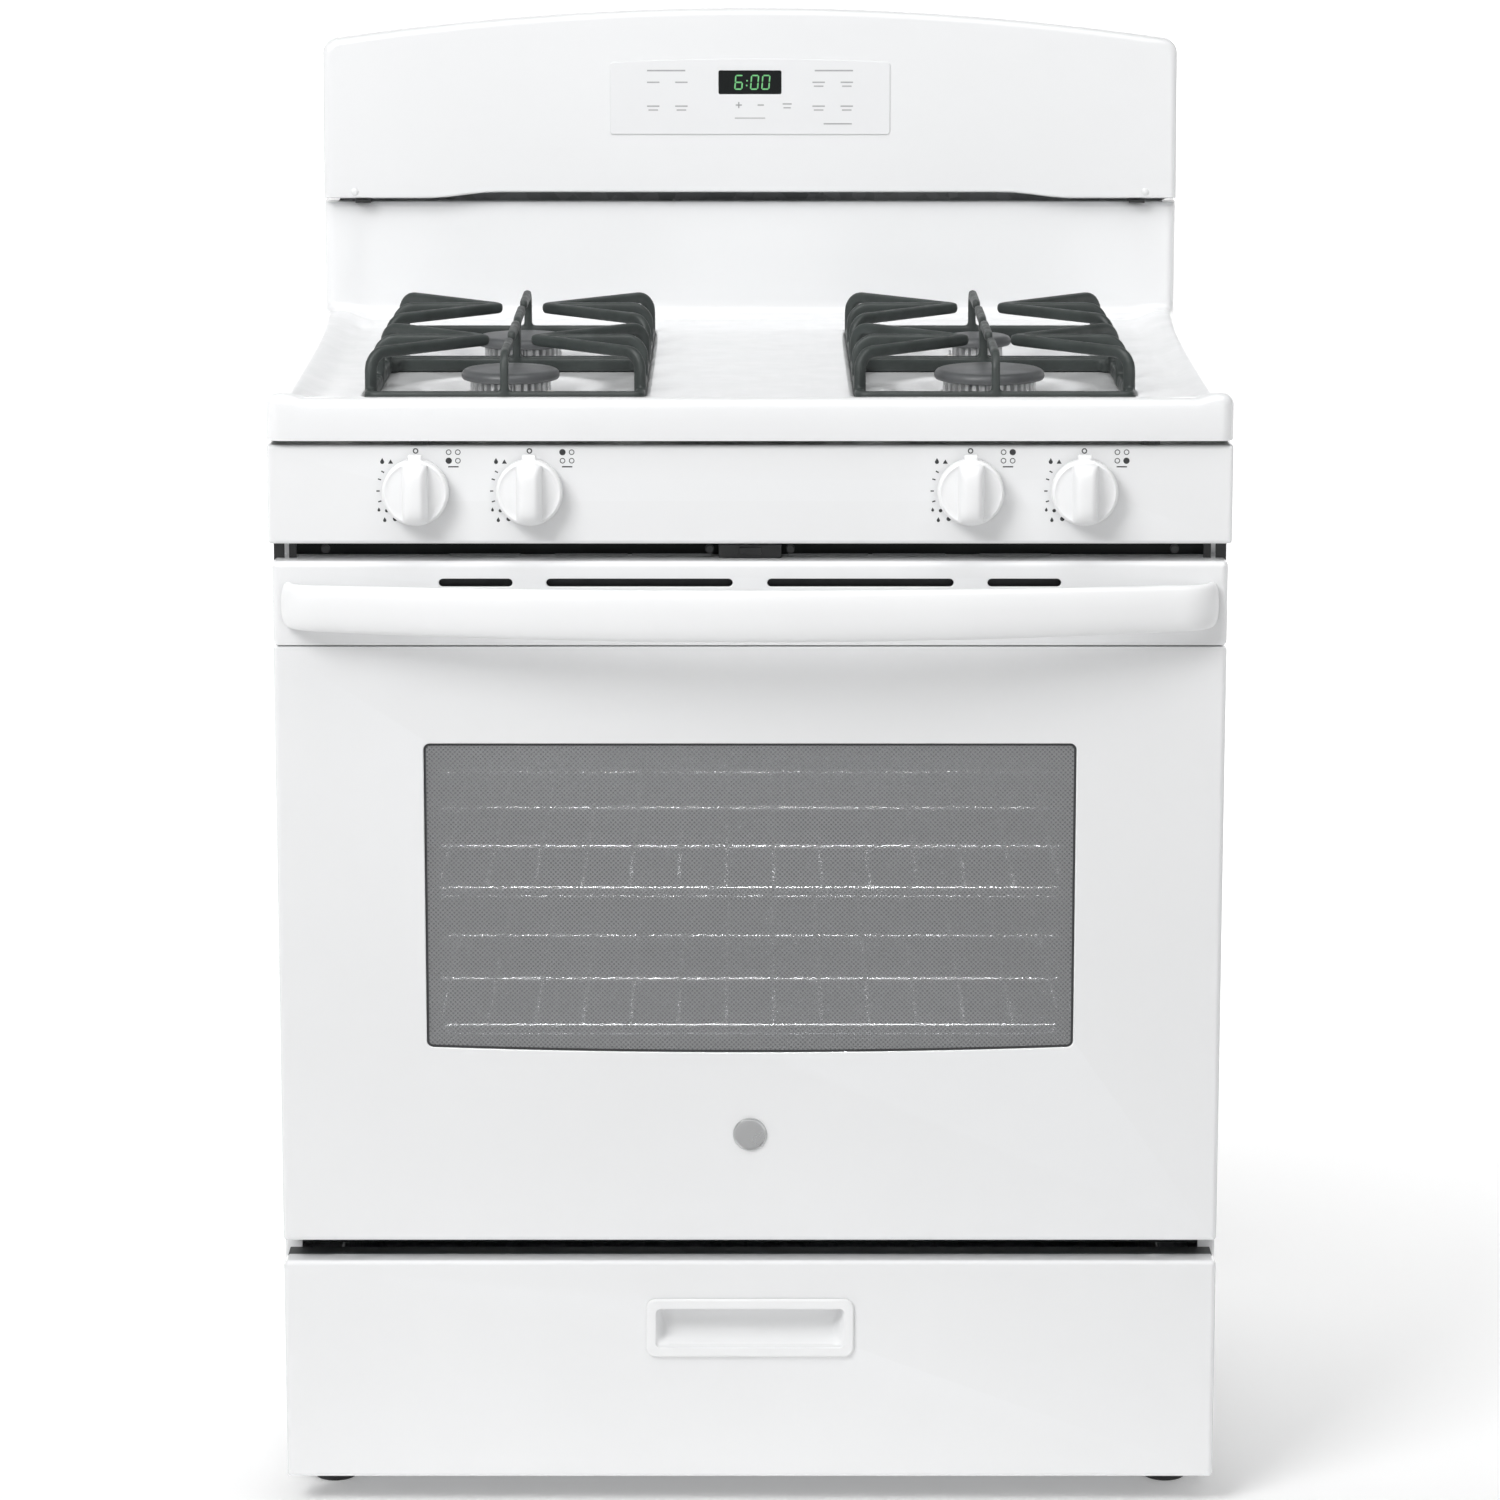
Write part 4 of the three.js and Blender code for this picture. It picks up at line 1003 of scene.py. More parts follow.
def pull_mouth():
    (_, half), _, (low, high) = extent("drawer_pull")
    return half - PULL_RIM, low + PULL_RIM, high - PULL_RIM


def drawer_front():
    (_, right), (face, back), (low, high) = extent("drawer_front")
    half, mouth_low, mouth_high = pull_mouth()
    hole = round_box(half + 1, mouth_low - 1, mouth_high + 1, 4)
    holes = [(hole, hole_rings(face, face + 1.4))]
    mesh = pressing(round_box(right, low, high, 3.5), round_over(back, face, 4), holes)
    piece = finish_mesh(mesh, "drawer_front_pressing", ENAMEL, "storage_drawer", sheet=SHEET)
    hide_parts("drawer_front")
    # The dark top flange is painted shade, standing for the drawer's white top in the door's shadow.
    flange = bmesh.new()
    add_block(flange, about(0, right - 2), (back - 4, DRAWER_LIP), (high - 1.4, high - 0.1), edge=0.5)
    finish_mesh(flange, "drawer_top_painted_shade", PAINTED_SHADE_DARK, "storage_drawer")


def add_scoop(mesh, half, low, high, face, deep):
    """The finger space: up behind the frame's top bar, then sloping out to flush at the bottom."""
    reach = deep - face
    track = [(high + 1.5, SCOOP_HIDDEN), (high + 0.6, 2.4), (high + 2.4, 5), (high + 4, 9),
             (high + 4, reach - 2), (high + 2, reach)]
    for i in range(1, 13):
        share = 1 - (i / 12) ** SCOOP_CURVE
        track.append((high - 2 - (high - low - 5) * (i / 12), 2.6 + (reach - 2.6) * share))
    track += [(low + 1.2, 2.1), (low - 1.5, SCOOP_HIDDEN)]
    columns = 60
    grid = []
    for z, depth in track:
        row = []
        drop = (high - z) / (high - low)
        for i in range(columns + 1):
            u = math.sin(math.pi * (i / columns - 0.5))
            x = (half + 1.5) * u
            wall = blend(((half + 1.5) * (1 - abs(u)) - 1.5) / (2.5 + 9 * max(0.0, drop))) ** 0.7
            inside = SCOOP_HIDDEN + (depth - SCOOP_HIDDEN) * wall
            flat_z = min(high + 1.5, z)
            row.append(mesh.verts.new((x, face + inside, flat_z + (z - flat_z) * wall)))
        grid.append(row)
    for near, far in zip(grid, grid[1:]):
        join_rows(mesh, near, far)


def drawer_pull():
    """A raised frame round a scoop: deep under its upper edge, sloping out to flush at the bottom."""
    (_, right), (face, deep), (low, high) = extent("drawer_pull")
    half, mouth_low, mouth_high = pull_mouth()
    panel = extent("drawer_front")[1][0]
    mesh = bmesh.new()
    frame_line = round_box(right, low, high, 8)
    rings = [(0.0, panel - 0.3), (0.0, face + 1.9)] + round_over(face + 1.9, face, 1.9)[1:]
    mouth_line = round_box(half, mouth_low, mouth_high, 4)
    mouth_rings = [(0.0, face + 3.0), (0.0, face + 0.5), (-0.15, face + 0.15), (-0.5, face)]
    edges, _ = add_rings(mesh, frame_line, rings)
    more, _ = add_rings(mesh, mouth_line, mouth_rings)
    bmesh.ops.triangle_fill(mesh, use_beauty=True, edges=edges + more)
    add_scoop(mesh, half, mouth_low, mouth_high, face, deep - 1.5)
    face_forward(mesh)
    body = "storage_drawer"
    piece = finish_mesh(mesh, "drawer_pull_moulding", WHITE_PLASTIC, body, sharp=50)
    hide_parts("drawer_pull")


drawer_front()
drawer_pull()

# ---- Backguard ------------------------------------------------------------------------------------
GUARD_CORNER = 14
GUARD_SHOULDER = 26             # the shoulders are this far under the top of the arch
GUARD_LEAN = 15                 # the face falls back this far from its foot to its top
FOOT_DROP = 2.6                 # the foot hangs lower than the shell's box near its ends
FOOT_ARCH = 5.4                 # and is this much higher in its middle
FOOT_BEND = (225, 62)           # the rise ends this far from the middle, over this width
CLIP_PLACE = 345                # of the clips and screws under the ends, from the middle
GUARD_SCREW = 352
FIGURE_FOOT = 6                 # the clock's figures reach this far below the window's middle
SLANT = 0.08                    # of the figures
SEGMENTS = {"0": "abcdef", "6": "acdefg"}
PAD_BARS = (                    # each bar's middle and size: across, up from the film's foot, wide, tall
    (78, 9.5, 25, 1.2), (-10, 26, 5.5, 1.2), (-10, 26, 1.2, 5.5), (9.5, 26, 5.5, 1.2),
    (33, 27, 8, 1.2), (33, 23.6, 6.5, 1.1), (0, 14.5, 27, 0.9),
)


def guard_outline(inset=0.0):
    """The arched front: square foot, round shoulders, shallow arch, and a foot raised a little mid-way."""
    (_, right), _, (low, high) = extent("backguard_shell")
    half, corner = right - inset, GUARD_CORNER - inset / 2
    shoulder, top = high - GUARD_SHOULDER - inset, high - inset
    chord = half - corner
    radius = (chord ** 2 + GUARD_SHOULDER ** 2) / (2 * GUARD_SHOULDER)
    swing = math.degrees(math.asin(chord / radius))
    points = []
    for i in range(49):
        x = -half + 2 * half * i / 48
        arch = FOOT_ARCH * (1 - blend((abs(x) - FOOT_BEND[0]) / FOOT_BEND[1]))
        points.append((x, low - FOOT_DROP + inset * 0.3 + arch))
    points += [polar(half - corner, shoulder - corner, corner, 90 * i / 8) for i in range(9)]
    points += [polar(0, top - radius, radius, 90 - swing + 2 * swing * i / 40) for i in range(1, 40)]
    points += [polar(corner - half, shoulder - corner, corner, 90 + 90 * i / 8) for i in range(9)]
    return points


def lean_back(mesh):
    """Tilts the face back about its foot, leaving the rear edge where it is."""
    _, (face, back), (low, high) = extent("backguard_shell")
    for vertex in mesh.verts:
        share = min(1.0, (back - vertex.co.y) / (back - face))
        vertex.co.y += share * GUARD_LEAN * (vertex.co.z - low) / (high - low)


def backguard():
    _, (face, back), _ = extent("backguard_shell")
    mesh = pressing(guard_outline, round_over(back, face, 7, steps=7))
    bmesh.ops.triangulate(mesh, faces=[max(mesh.faces, key=lambda f: f.calc_area())])
    lean_back(mesh)
    name, slot = "backguard_pressing", "white_enamel"
    piece = finish_mesh(mesh, name, SHADED_GUARD_ENAMEL, "chassis", sharp=50, sheet=SHEET)
    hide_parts("backguard_shell")


def overlay_outline(inset=0.0):
    """The control film's outline, whose upper edge is slightly arched."""
    (_, right), _, (low, high) = extent("control_overlay")
    half, bottom, radius, arch = right - inset, low + inset, 3.0 - min(2.5, inset), 3
    shoulder = high - arch - inset
    points = [polar(half - radius, bottom + radius, radius, -90 + 22.5 * i) for i in range(5)]
    points += [polar(half - radius, shoulder - radius, radius, 22.5 * i) for i in range(4)]
    for i in range(25):
        x = (half - radius) * (1 - 2 * i / 24)
        points.append((x, shoulder + arch * (1 - (x / half) ** 2)))
    points += [polar(radius - half, shoulder - radius, radius, 90 + 22.5 * i) for i in range(1, 5)]
    points += [polar(radius - half, bottom + radius, radius, 180 + 22.5 * i) for i in range(4)]
    return points


def display_hole():
    (_, right), _, (low, high) = extent("display_window")
    return round_box(right, low, high, 1.5)


def control_overlay():
    face = extent("backguard_shell")[1][0]
    mesh = pressing(overlay_outline, round_over(face - 0.1, face - 1.25, 0.7, steps=3),
                    [(display_hole(), hole_rings(face - 1.25, face - 0.3, 0.3))])
    lean_back(mesh)
    piece = finish_mesh(mesh, "control_film", SHADED_OVERLAY, "chassis", sharp=45)
    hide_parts("control_overlay")


def add_digit(mesh, x, z, figure, y, tall=12, wide=6.2, stroke=1.2):
    """One seven-segment figure with its lower left corner at (x, z)."""
    half = tall / 2
    lines = {
        "a": ((0, tall), (wide, tall)), "g": ((0, half), (wide, half)), "d": ((0, 0), (wide, 0)),
        "f": ((0, half), (0, tall)), "b": ((wide, half), (wide, tall)),
        "e": ((0, 0), (0, half)), "c": ((wide, 0), (wide, half)),
    }
    for letter in SEGMENTS[figure]:
        (x0, z0), (x1, z1) = lines[letter]
        along = Vector((x1 - x0, z1 - z0)).normalized()
        across = Vector((-along.y, along.x)) * stroke / 2
        a = Vector((x0, z0)) + along * 0.75
        b = Vector((x1, z1)) - along * 0.75
        points = [a - along * 0.5, a + across, b + across, b + along * 0.5, b - across, a - across]
        add_plate(mesh, [(x + p.x + SLANT * p.y, z + p.y) for p in points], y)


def display():
    """A black window with a clock's figures behind its face."""
    low, high = extent("display_window")[2]
    face = extent("backguard_shell")[1][0]
    mesh = pressing(display_hole(), round_over(face - 0.3, face - 0.95, 0.2, steps=2))
    lean_back(mesh)
    piece = finish_mesh(mesh, "display_glass", DISPLAY, "chassis", sharp=45)
    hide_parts("display_window")
    digits = bmesh.new()
    foot = middle((low, high)) - FIGURE_FOOT
    front = face - 0.97
    for x, figure in ((-13.5, "6"), (0.5, "0"), (10.5, "0")):
        add_digit(digits, x, foot, figure, front)
    for rise in (3.2, 7.4):
        add_plate(digits, circle_outline(-3.2 + SLANT * rise, foot + rise, 0.75, 10)(0), front)
    lean_back(digits)
    finish_mesh(digits, "display_figures", DIGITS, "chassis", smooth=False)


def add_bar(mesh, x, z, wide, tall, y):
    """A printed bar about a point."""
    (x0, x1), (z0, z1) = about(x, wide / 2), about(z, tall / 2)
    add_plate(mesh, [(x0, z0), (x1, z0), (x1, z1), (x0, z1)], y)


def pad_marks():
    """Generic labels of the touch pads: short bars, a plus and a minus, with no lettering."""
    low, high = extent("control_overlay")[2]
    y = extent("backguard_shell")[1][0] - 1.26
    mesh = bmesh.new()
    for side in (-1, 1):
        add_bar(mesh, side * 74.5, high - 10.5, 34, 1.3, y)
        for x in (side * 61, side * 86):
            for z, second in ((high - 22, side > 0), (high - 43, True)):
                add_bar(mesh, x, z + 1.2, 11, 1.2, y)
                if second:
                    add_bar(mesh, x, z - 2.2, 8.5, 1.1, y)
    for x, rise, wide, tall in PAD_BARS:
        add_bar(mesh, x, low + rise, wide, tall, y)
    lean_back(mesh)
    finish_mesh(mesh, "pad_marks", PALE_INK, "chassis", smooth=False)


def guard_clips():
    """Black clips under the guard's foot, each with a screw head above it."""
    face, low = extent("backguard_shell")[1][0], extent("backguard_shell")[2][0]
    for name, side in SIDES:
        clip = bmesh.new()
        across = about(side * CLIP_PLACE, 7)
        add_block(clip, across, (face + 3, face + 20), (low - 6.6, low - 3.6), edge=0.6)
        finish_mesh(clip, f"{name}_guard_clip", BLACK_PLASTIC, "chassis")
        mesh = bmesh.new()
        head = [(0, 0), (3.4, 0), (3.4, 0.7), (2.6, 1.4), (1.2, 1.75), (0, 1.8)]
        add_lathe(mesh, head, steps=24, place=facing_front(side * GUARD_SCREW, face + 0.6, low + 3.5))
        finish_mesh(mesh, f"{name}_guard_screw", SHADED_GUARD_ENAMEL, "chassis")


backguard()
control_overlay()
display()
pad_marks()
guard_clips()


# ---- Burners and grates ---------------------------------------------------------------------------
CERAMIC = surface("glazed_ceramic", (0.82, 0.8, 0.76), 0.25, mottle=0.04, bump_scale=600.0, bump_mm=0.01)
PORT_DEPTH = 4.2                # of the flame ports cut into a burner's crown
GRATE_BAR = 8
GRATE_FRAME = 6                 # half the height of the frame's bars
GRATE_NOSE = 18                 # each nose ends this far from the burner's centre
GRATE_SPREAD = 85
GRATE_CORNER = 12
GRATE_SHOULDER = 14             # radius of a finger's bend, along its middle
GRATE_VOXEL = 1.5


def burner_head(name, x, y):
    """A cast head: base flange, throat, and a crown cut by flame ports."""
    (_, right), _, (low, top) = extent(f"{name}_burner_head")
    crown = right - x
    ports = 2 * round(crown * 0.43)
    profile = [(0, low), (17, low), (18, low + 1), (18, top - 14), (crown * 0.75, top - 13.2),
               (crown * 0.98, top - 12.4), (crown, top - 11.4), (crown, top - 10.4), (crown - 2.2, top - 9.4),
               (crown - 2.6, top - 8.6), (crown - 2.2, top - 8.4), (crown - 2.2, top - 1.4),
               (crown - 2.8, top), (0, top)]
    notched = {10, 11, 12}

    def radius_at(turn, index, radius):
        if index not in notched:
            return radius
        wave = math.cos(ports * turn)
        return radius - PORT_DEPTH * blend((wave - 0.1) / 0.4)

    mesh = bmesh.new()
    add_lathe(mesh, profile, steps=ports * 10, place=Matrix.Translation((x, y, 0)), radius_at=radius_at)
    piece = finish_mesh(mesh, f"{name}_burner_casting", CAST_ALUMINIUM, "chassis", sharp=35)
    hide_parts(f"{name}_burner_head")


def burner_cap(name, x, y):
    """A flat enamelled cap with a soft edge and a shallow ring in its top."""
    (_, right), _, (low, top) = extent(f"{name}_burner_cap")
    radius = right - x
    profile = [(0, low), (radius - 3.0, low), (radius - 1.2, low + 0.5), (radius - 0.3, low + 1.6),
               (radius, low + 3.2), (radius - 0.2, low + 4.8), (radius - 0.9, low + 6.3),
               (radius - 2.1, low + 7.5), (radius - 3.9, low + 8.3), (radius - 6.5, low + 8.7),
               (radius * 0.6, top - 0.1), (0, top)]
    mesh = bmesh.new()
    add_lathe(mesh, profile, steps=96, place=Matrix.Translation((x, y, 0)))
    piece = finish_mesh(mesh, f"{name}_cap_pressing", CAP_ENAMEL, "chassis", sharp=50)
    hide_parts(f"{name}_burner_cap")


def igniter(name, x, y):
    """The spark electrode beside a burner: a white ceramic post with a wire tip."""
    (_, right), _, (_, top) = extent(f"{name}_burner_head")
    place = Matrix.Translation((*polar(x, y, right - x + 5.5, 215 if x > 0 else -35), 0))
    mesh = bmesh.new()
    post = [(0, top - 30), (3.1, top - 30), (3.1, top - 7), (2.7, top - 6.2), (0, top - 6.2)]
    add_lathe(mesh, post, steps=24, place=place)
    finish_mesh(mesh, f"{name}_igniter_post", CERAMIC, "chassis", sharp=35)
    wire = bmesh.new()
    tip = [(0, top - 7), (0.8, top - 7), (0.8, top - 2.2), (0.5, top - 1.6), (0, top - 1.5)]
    add_lathe(wire, tip, steps=12, place=place)
    finish_mesh(wire, f"{name}_igniter_tip", WIRE, "chassis", sharp=35)


for station, (centre_x, centre_y) in burner_places().items():
    burner_head(station, centre_x, centre_y)
    burner_cap(station, centre_x, centre_y)
    igniter(station, centre_x, centre_y)


def finger_path(start, end, low, top):
    """Straight up from the frame, round a shoulder, then level to the nose."""
    start, end = Vector(start), Vector(end)
    forwards = (end - start).normalized()
    reach = (end - start).length
    shoulder = GRATE_SHOULDER
    points = [(0.0, low + (top - shoulder - low) * i / 4) for i in range(4)]
    for i in range(9):
        turn = math.pi / 2 * i / 8
        points.append((shoulder * (1 - math.cos(turn)), top - shoulder + shoulder * math.sin(turn)))
    points += [(shoulder + (reach - shoulder) * i / 20, top) for i in range(1, 21)]
    return [tuple(start + forwards * along)[:2] + (z,) for along, z in points], forwards


def nose_scales(count, taper=4):
    """Full size along the bar, rounded off over its last few steps."""
    rounding = (0.97, 0.9, 0.76, 0.45)
    return [(1.0, 1.0)] * (count - taper) + [(r, r) for r in rounding[:taper]]


def add_finger(mesh, start, end, low, high, width):
    """One bar from the frame to its nose, taller than it is wide."""
    half_tall = width * 0.62
    path, forwards = finger_path(start, end, low, high - half_tall)
    nose = Vector(path[-1])
    path += [tuple(nose + forwards * step) for step in (1.6, 3.0, 4.0)]
    aside = forwards.cross(Vector((0, 0, 1)))
    section = oval(width / 2, half_tall, steps=14, power=3.2)
    add_sweep(mesh, path, section, scales=nose_scales(len(path)), across=aside)


def closed_path(corners, step):
    """Evenly spaced (u, v) points round a closed line of corners."""
    points = []
    for a, b in zip(corners, corners[1:] + corners[:1]):
        parts = max(1, round(math.hypot(b[0] - a[0], b[1] - a[1]) / step))
        for i in range(parts):
            points.append((a[0] + (b[0] - a[0]) * i / parts, a[1] + (b[1] - a[1]) * i / parts))
    return points


def grate_mesh():
    """One grate about its burner's centre: a frame, two fans of three fingers, and two cross fingers."""
    (x0, x1), (y0, y1), (low, high) = extent("left_front_grate")
    half_x, half_y = (x1 - x0) / 2, (y1 - y0) / 2
    mesh = bmesh.new()
    inset = GRATE_BAR / 2
    rail = []
    for x, y, start in ((1, 1, 0), (-1, 1, 90), (-1, -1, 180), (1, -1, 270)):
        centre = (x * (half_x - GRATE_CORNER), y * (half_y - GRATE_CORNER))
        rail += [polar(*centre, GRATE_CORNER - inset, start + 90 * i / 6) for i in range(7)]
    points = [Vector((x, y, low + GRATE_FRAME)) for x, y in closed_path(rail, 10)]
    section = oval(inset, GRATE_FRAME, steps=16, power=4.5)
    rows = []
    count = len(points)
    for i, point in enumerate(points):
        along = (points[(i + 1) % count] - points[i - 1]).normalized()
        across = along.cross(Vector((0, 0, 1)))
        rows.append([mesh.verts.new(point + across * u + Vector((0, 0, v))) for u, v in section])
    for i in range(count):
        join_loops(mesh, rows[i], rows[(i + 1) % count])
    for side in (-1, 1):
        for offset in (-GRATE_SPREAD, 0, GRATE_SPREAD):
            start, end = (side * (half_x - 4.4), offset, 0), (side * (GRATE_NOSE + 3), 0, 0)
            add_finger(mesh, start, end, low + 3, high, GRATE_BAR)
        start, end = (0, side * (half_y - 4.2), 0), (0, side * (GRATE_NOSE + 3), 0)
        add_finger(mesh, start, end, low + 3, high, GRATE_BAR - 1)
    foot = [(0, low), (3.6, low), (4.2, low + 1), (4.6, low + 8), (0, low + 8)]
    for x in (-1, 1):
        for y in (-1, 1):
            place = Matrix.Translation((x * (half_x - 9), y * (half_y - 9), 0))
            add_lathe(mesh, foot, steps=16, place=place)
    return mesh


def cast(mesh, size):
    """Fuses overlapping bars into one casting with soft joints."""
    bmesh.ops.recalc_face_normals(mesh, faces=mesh.faces)
    data = bpy.data.meshes.new("grate_blank")
    mesh.to_mesh(data)
    mesh.free()
    blank = bpy.data.objects.new("grate_blank", data)
    bpy.context.scene.collection.objects.link(blank)
    remesh = blank.modifiers.new("fuse", "REMESH")
    remesh.mode = "VOXEL"
    remesh.voxel_size = size
    smooth = blank.modifiers.new("soften", "SMOOTH")
    smooth.factor = 0.5
    smooth.iterations = 3
    done = blank.evaluated_get(bpy.context.evaluated_depsgraph_get())
    fused = bmesh.new()
    fused.from_mesh(done.to_mesh())
    bpy.data.objects.remove(blank)
    bpy.data.meshes.remove(data)
    return fused


def grates():
    casting = cast(grate_mesh(), GRATE_VOXEL)
    top = extent("left_front_grate")[2]
    highest = max(v.co.z for v in casting.verts)
    lowest = min(v.co.z for v in casting.verts)
    stretch = (top[1] - top[0] - 0.1) / (highest - lowest)
    for vertex in casting.verts:
        vertex.co.z = top[0] + 0.05 + (vertex.co.z - lowest) * stretch
    for name in STATIONS:
        (x0, x1), (y0, y1), _ = extent(f"{name}_grate")
        mesh = casting.copy()
        mesh.transform(Matrix.Translation((middle((x0, x1)), middle((y0, y1)), 0)))
        piece = finish_mesh(mesh, f"{name}_grate_casting", CAST_IRON, f"grate_{name}", sharp=70)
        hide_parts(f"{name}_grate")
    casting.free()


grates()


# ---- Oven inside ----------------------------------------------------------------------------------
RACK_PITCH = 39
RACK_WIRES = 14
RACK_WIRE = 1.6                 # radius of the rack's wires
RACK_ROD = 2.4                  # and of its frame
LINER_WALL = 13.5               # the cavity's floor and ceiling stand this far inside the liner's box
LINER_BEND = 16                 # radius where its walls meet its back
LEDGES = 6                      # pairs of rack ledges above the oven's floor
LINER_PLUG = 7                  # the door's inner pressing stands this far into the oven's mouth
HINGE_NOTCH = 262               # and its rim is notched up to this height round the hinges


def round_section(radius, steps=10):
    return oval(radius, radius, steps=steps)


def add_rod(mesh, start, end, radius, steps=10):
    across = (Vector(end) - Vector(start)).normalized()
    up = (0, 1, 0) if abs(across.z) > 0.9 else (0, 0, 1)
    add_sweep(mesh, [start, end], round_section(radius, steps), up=up)


def add_loop(mesh, points, section, grow=1.0):
    """Carries a section round a closed flat path. Every second ring of it is scaled by grow."""
    points = [Vector(p) for p in points]
    normal = (points[1] - points[0]).cross(points[len(points) // 3] - points[0]).normalized()
    count = len(points)
    rows = []
    for i, point in enumerate(points):
        along = (points[(i + 1) % count] - points[i - 1]).normalized()
        aside = along.cross(normal)
        scale = 1.0 if i % 2 else grow
        rows.append([mesh.verts.new(point + aside * u * scale + normal * v * scale) for u, v in section])
    for i in range(count):
        join_loops(mesh, rows[i], rows[(i + 1) % count])


def rounded_path(half_x, low, high, radius, step):
    """Evenly spaced (u, v) points round a rectangle with round corners."""
    return closed_path(round_box(half_x, low, high, radius, steps=8)(0.0), step)


def oven_rack(name):
    """Plated wires welded on a frame rod with bent corners, and two cross rods."""
    (left, right), (front, back), (low, high) = extent(name)
    rod, wire = RACK_ROD, RACK_WIRE
    mesh = bmesh.new()
    frame_z = low + rod
    loop = [(x, y, frame_z) for x, y in rounded_path(right - rod, front + rod, back - rod, 14, 12)]
    add_loop(mesh, loop, round_section(rod))
    for share in (0.34, 0.67):
        y = front + (back - front) * share
        add_rod(mesh, (left + rod, y, frame_z), (right - rod, y, frame_z), rod)
    top = high - wire
    for i in range(RACK_WIRES):
        x = (i - (RACK_WIRES - 1) / 2) * RACK_PITCH
        bent = [(x, front + rod, frame_z - 0.6), (x, front + rod + 1.6, frame_z + 0.9), (x, front + 7, top),
                (x, back - 7, top), (x, back - rod - 1.6, frame_z + 0.9), (x, back - rod, frame_z - 0.6)]
        add_sweep(mesh, bent, round_section(wire, 8))
    piece = finish_mesh(mesh, f"{name}_wires", WIRE, "chassis", sharp=60)
    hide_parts(name)


def oven_liner():
    """A deep-drawn enamel box with round corners, a front rim and pressed ledges for the racks."""
    (_, right), (front, back), (low, high) = extent("oven_liner")
    wall, cavity_low, cavity_high = right - 15, low + LINER_WALL, high - LINER_WALL
    bend, deepest = LINER_BEND, back - 1.7
    outline = round_box(wall, cavity_low, cavity_high, 20, steps=6)
    rings = [(-14.6, front + 0.2), (-3.5, front + 0.2), (-1.2, front + 1.0), (0.0, front + 3.4)]
    for i in range(6):
        t = math.pi / 2 * i / 5
        rings.append((bend * (1 - math.cos(t)), deepest - bend * (1 - math.sin(t))))
    mesh = pressing(outline, rings)
    piece = finish_mesh(mesh, "oven_cavity", DARK_ENAMEL, "chassis", sharp=50, sheet=SHEET)
    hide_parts("oven_liner")
    ledges = bmesh.new()
    floor_top = extent("oven_floor")[2][0] - 0.4
    lower, upper = (extent(f"{name}_oven_rack")[2][0] for name in ("lower", "upper"))
    rack_gap = (upper - lower) / 2
    first = lower - rack_gap
    for top in [floor_top] + [first - 0.3 + rack_gap * i for i in range(LEDGES)]:
        for _, side in SIDES:
            across = on_side(side, wall - 8, wall + 0.5)
            add_block(ledges, across, (front + 16, back - 8), (top - 5, top), edge=1.9, segments=3)
    finish_mesh(ledges, "rack_ledges", DARK_ENAMEL, "chassis", sharp=35)
    beads = bmesh.new()
    upright = (cavity_low + 70, cavity_high - 70)
    for x in (-200, -70, 70, 200):
        add_block(beads, about(x, 7), (back - 4.6, back - 1.4), upright, edge=1.6, segments=3)
    finish_mesh(beads, "oven_back_beads", DARK_ENAMEL, "chassis", sharp=35)


def oven_fittings():
    """The broil burner, the lamp's glass, the sensor and the flue's grille inside the oven."""
    (left, right), (_, back), (_, high) = extent("oven_liner")
    ceiling = high - LINER_WALL
    burner = bmesh.new()
    loop = [(x, y + 10, ceiling - 21) for x, y in rounded_path(120, -150, 120, 45, 9)]
    add_loop(burner, loop, round_section(7, 12))
    add_rod(burner, (0, 124, ceiling - 21), (0, back - 3, ceiling - 21), 7, 14)
    for y in (-120, 100):
        add_block(burner, (-4, 4), (y, y + 12), (ceiling - 22, ceiling + 0.5), edge=0.8)
        add_block(burner, (-126, 126), (y, y + 12), (ceiling - 14, ceiling - 12.8), edge=0.4)
    finish_mesh(burner, "broil_burner", ZINC, "chassis", sharp=45)
    lamp = bmesh.new()
    dome = [(0, 0), (30, 0), (30, 3), (28.5, 5), (26, 6), (25, 11), (21, 17), (14, 21), (6, 22.6), (0, 23)]
    add_lathe(lamp, dome, steps=48, place=facing_front(right - 80, back - 1.8, ceiling - 90))
    finish_mesh(lamp, "oven_lamp_glass", CLEAR_GLASS, "chassis", sharp=35)
    sensor = bmesh.new()
    x, z = left + 90, ceiling - 60
    add_rod(sensor, (x, back - 2, z), (x, back - 95, z), 2.4, 12)
    add_block(sensor, about(x, 12), (back - 3.6, back - 1.9), about(z, 8), edge=0.6)
    finish_mesh(sensor, "oven_sensor", WIRE, "chassis", sharp=35)
    grille = bmesh.new()
    for i in range(7):
        y = 186 + 5.4 * i
        add_block(grille, (-64, 64), (y, y + 2.6), (ceiling - 2.4, ceiling - 0.2), edge=0.5)
    finish_mesh(grille, "flue_grille", BLACK_PLASTIC, "chassis", sharp=35)


def turned_slot(x, y, length, height):
    """A slot's outline with its length along the second axis."""
    slot = slot_outline(0, 0, length, height)

    def outline(inset=0.0):
        return [(x - v, y + u) for u, v in slot(inset)]

    return outline


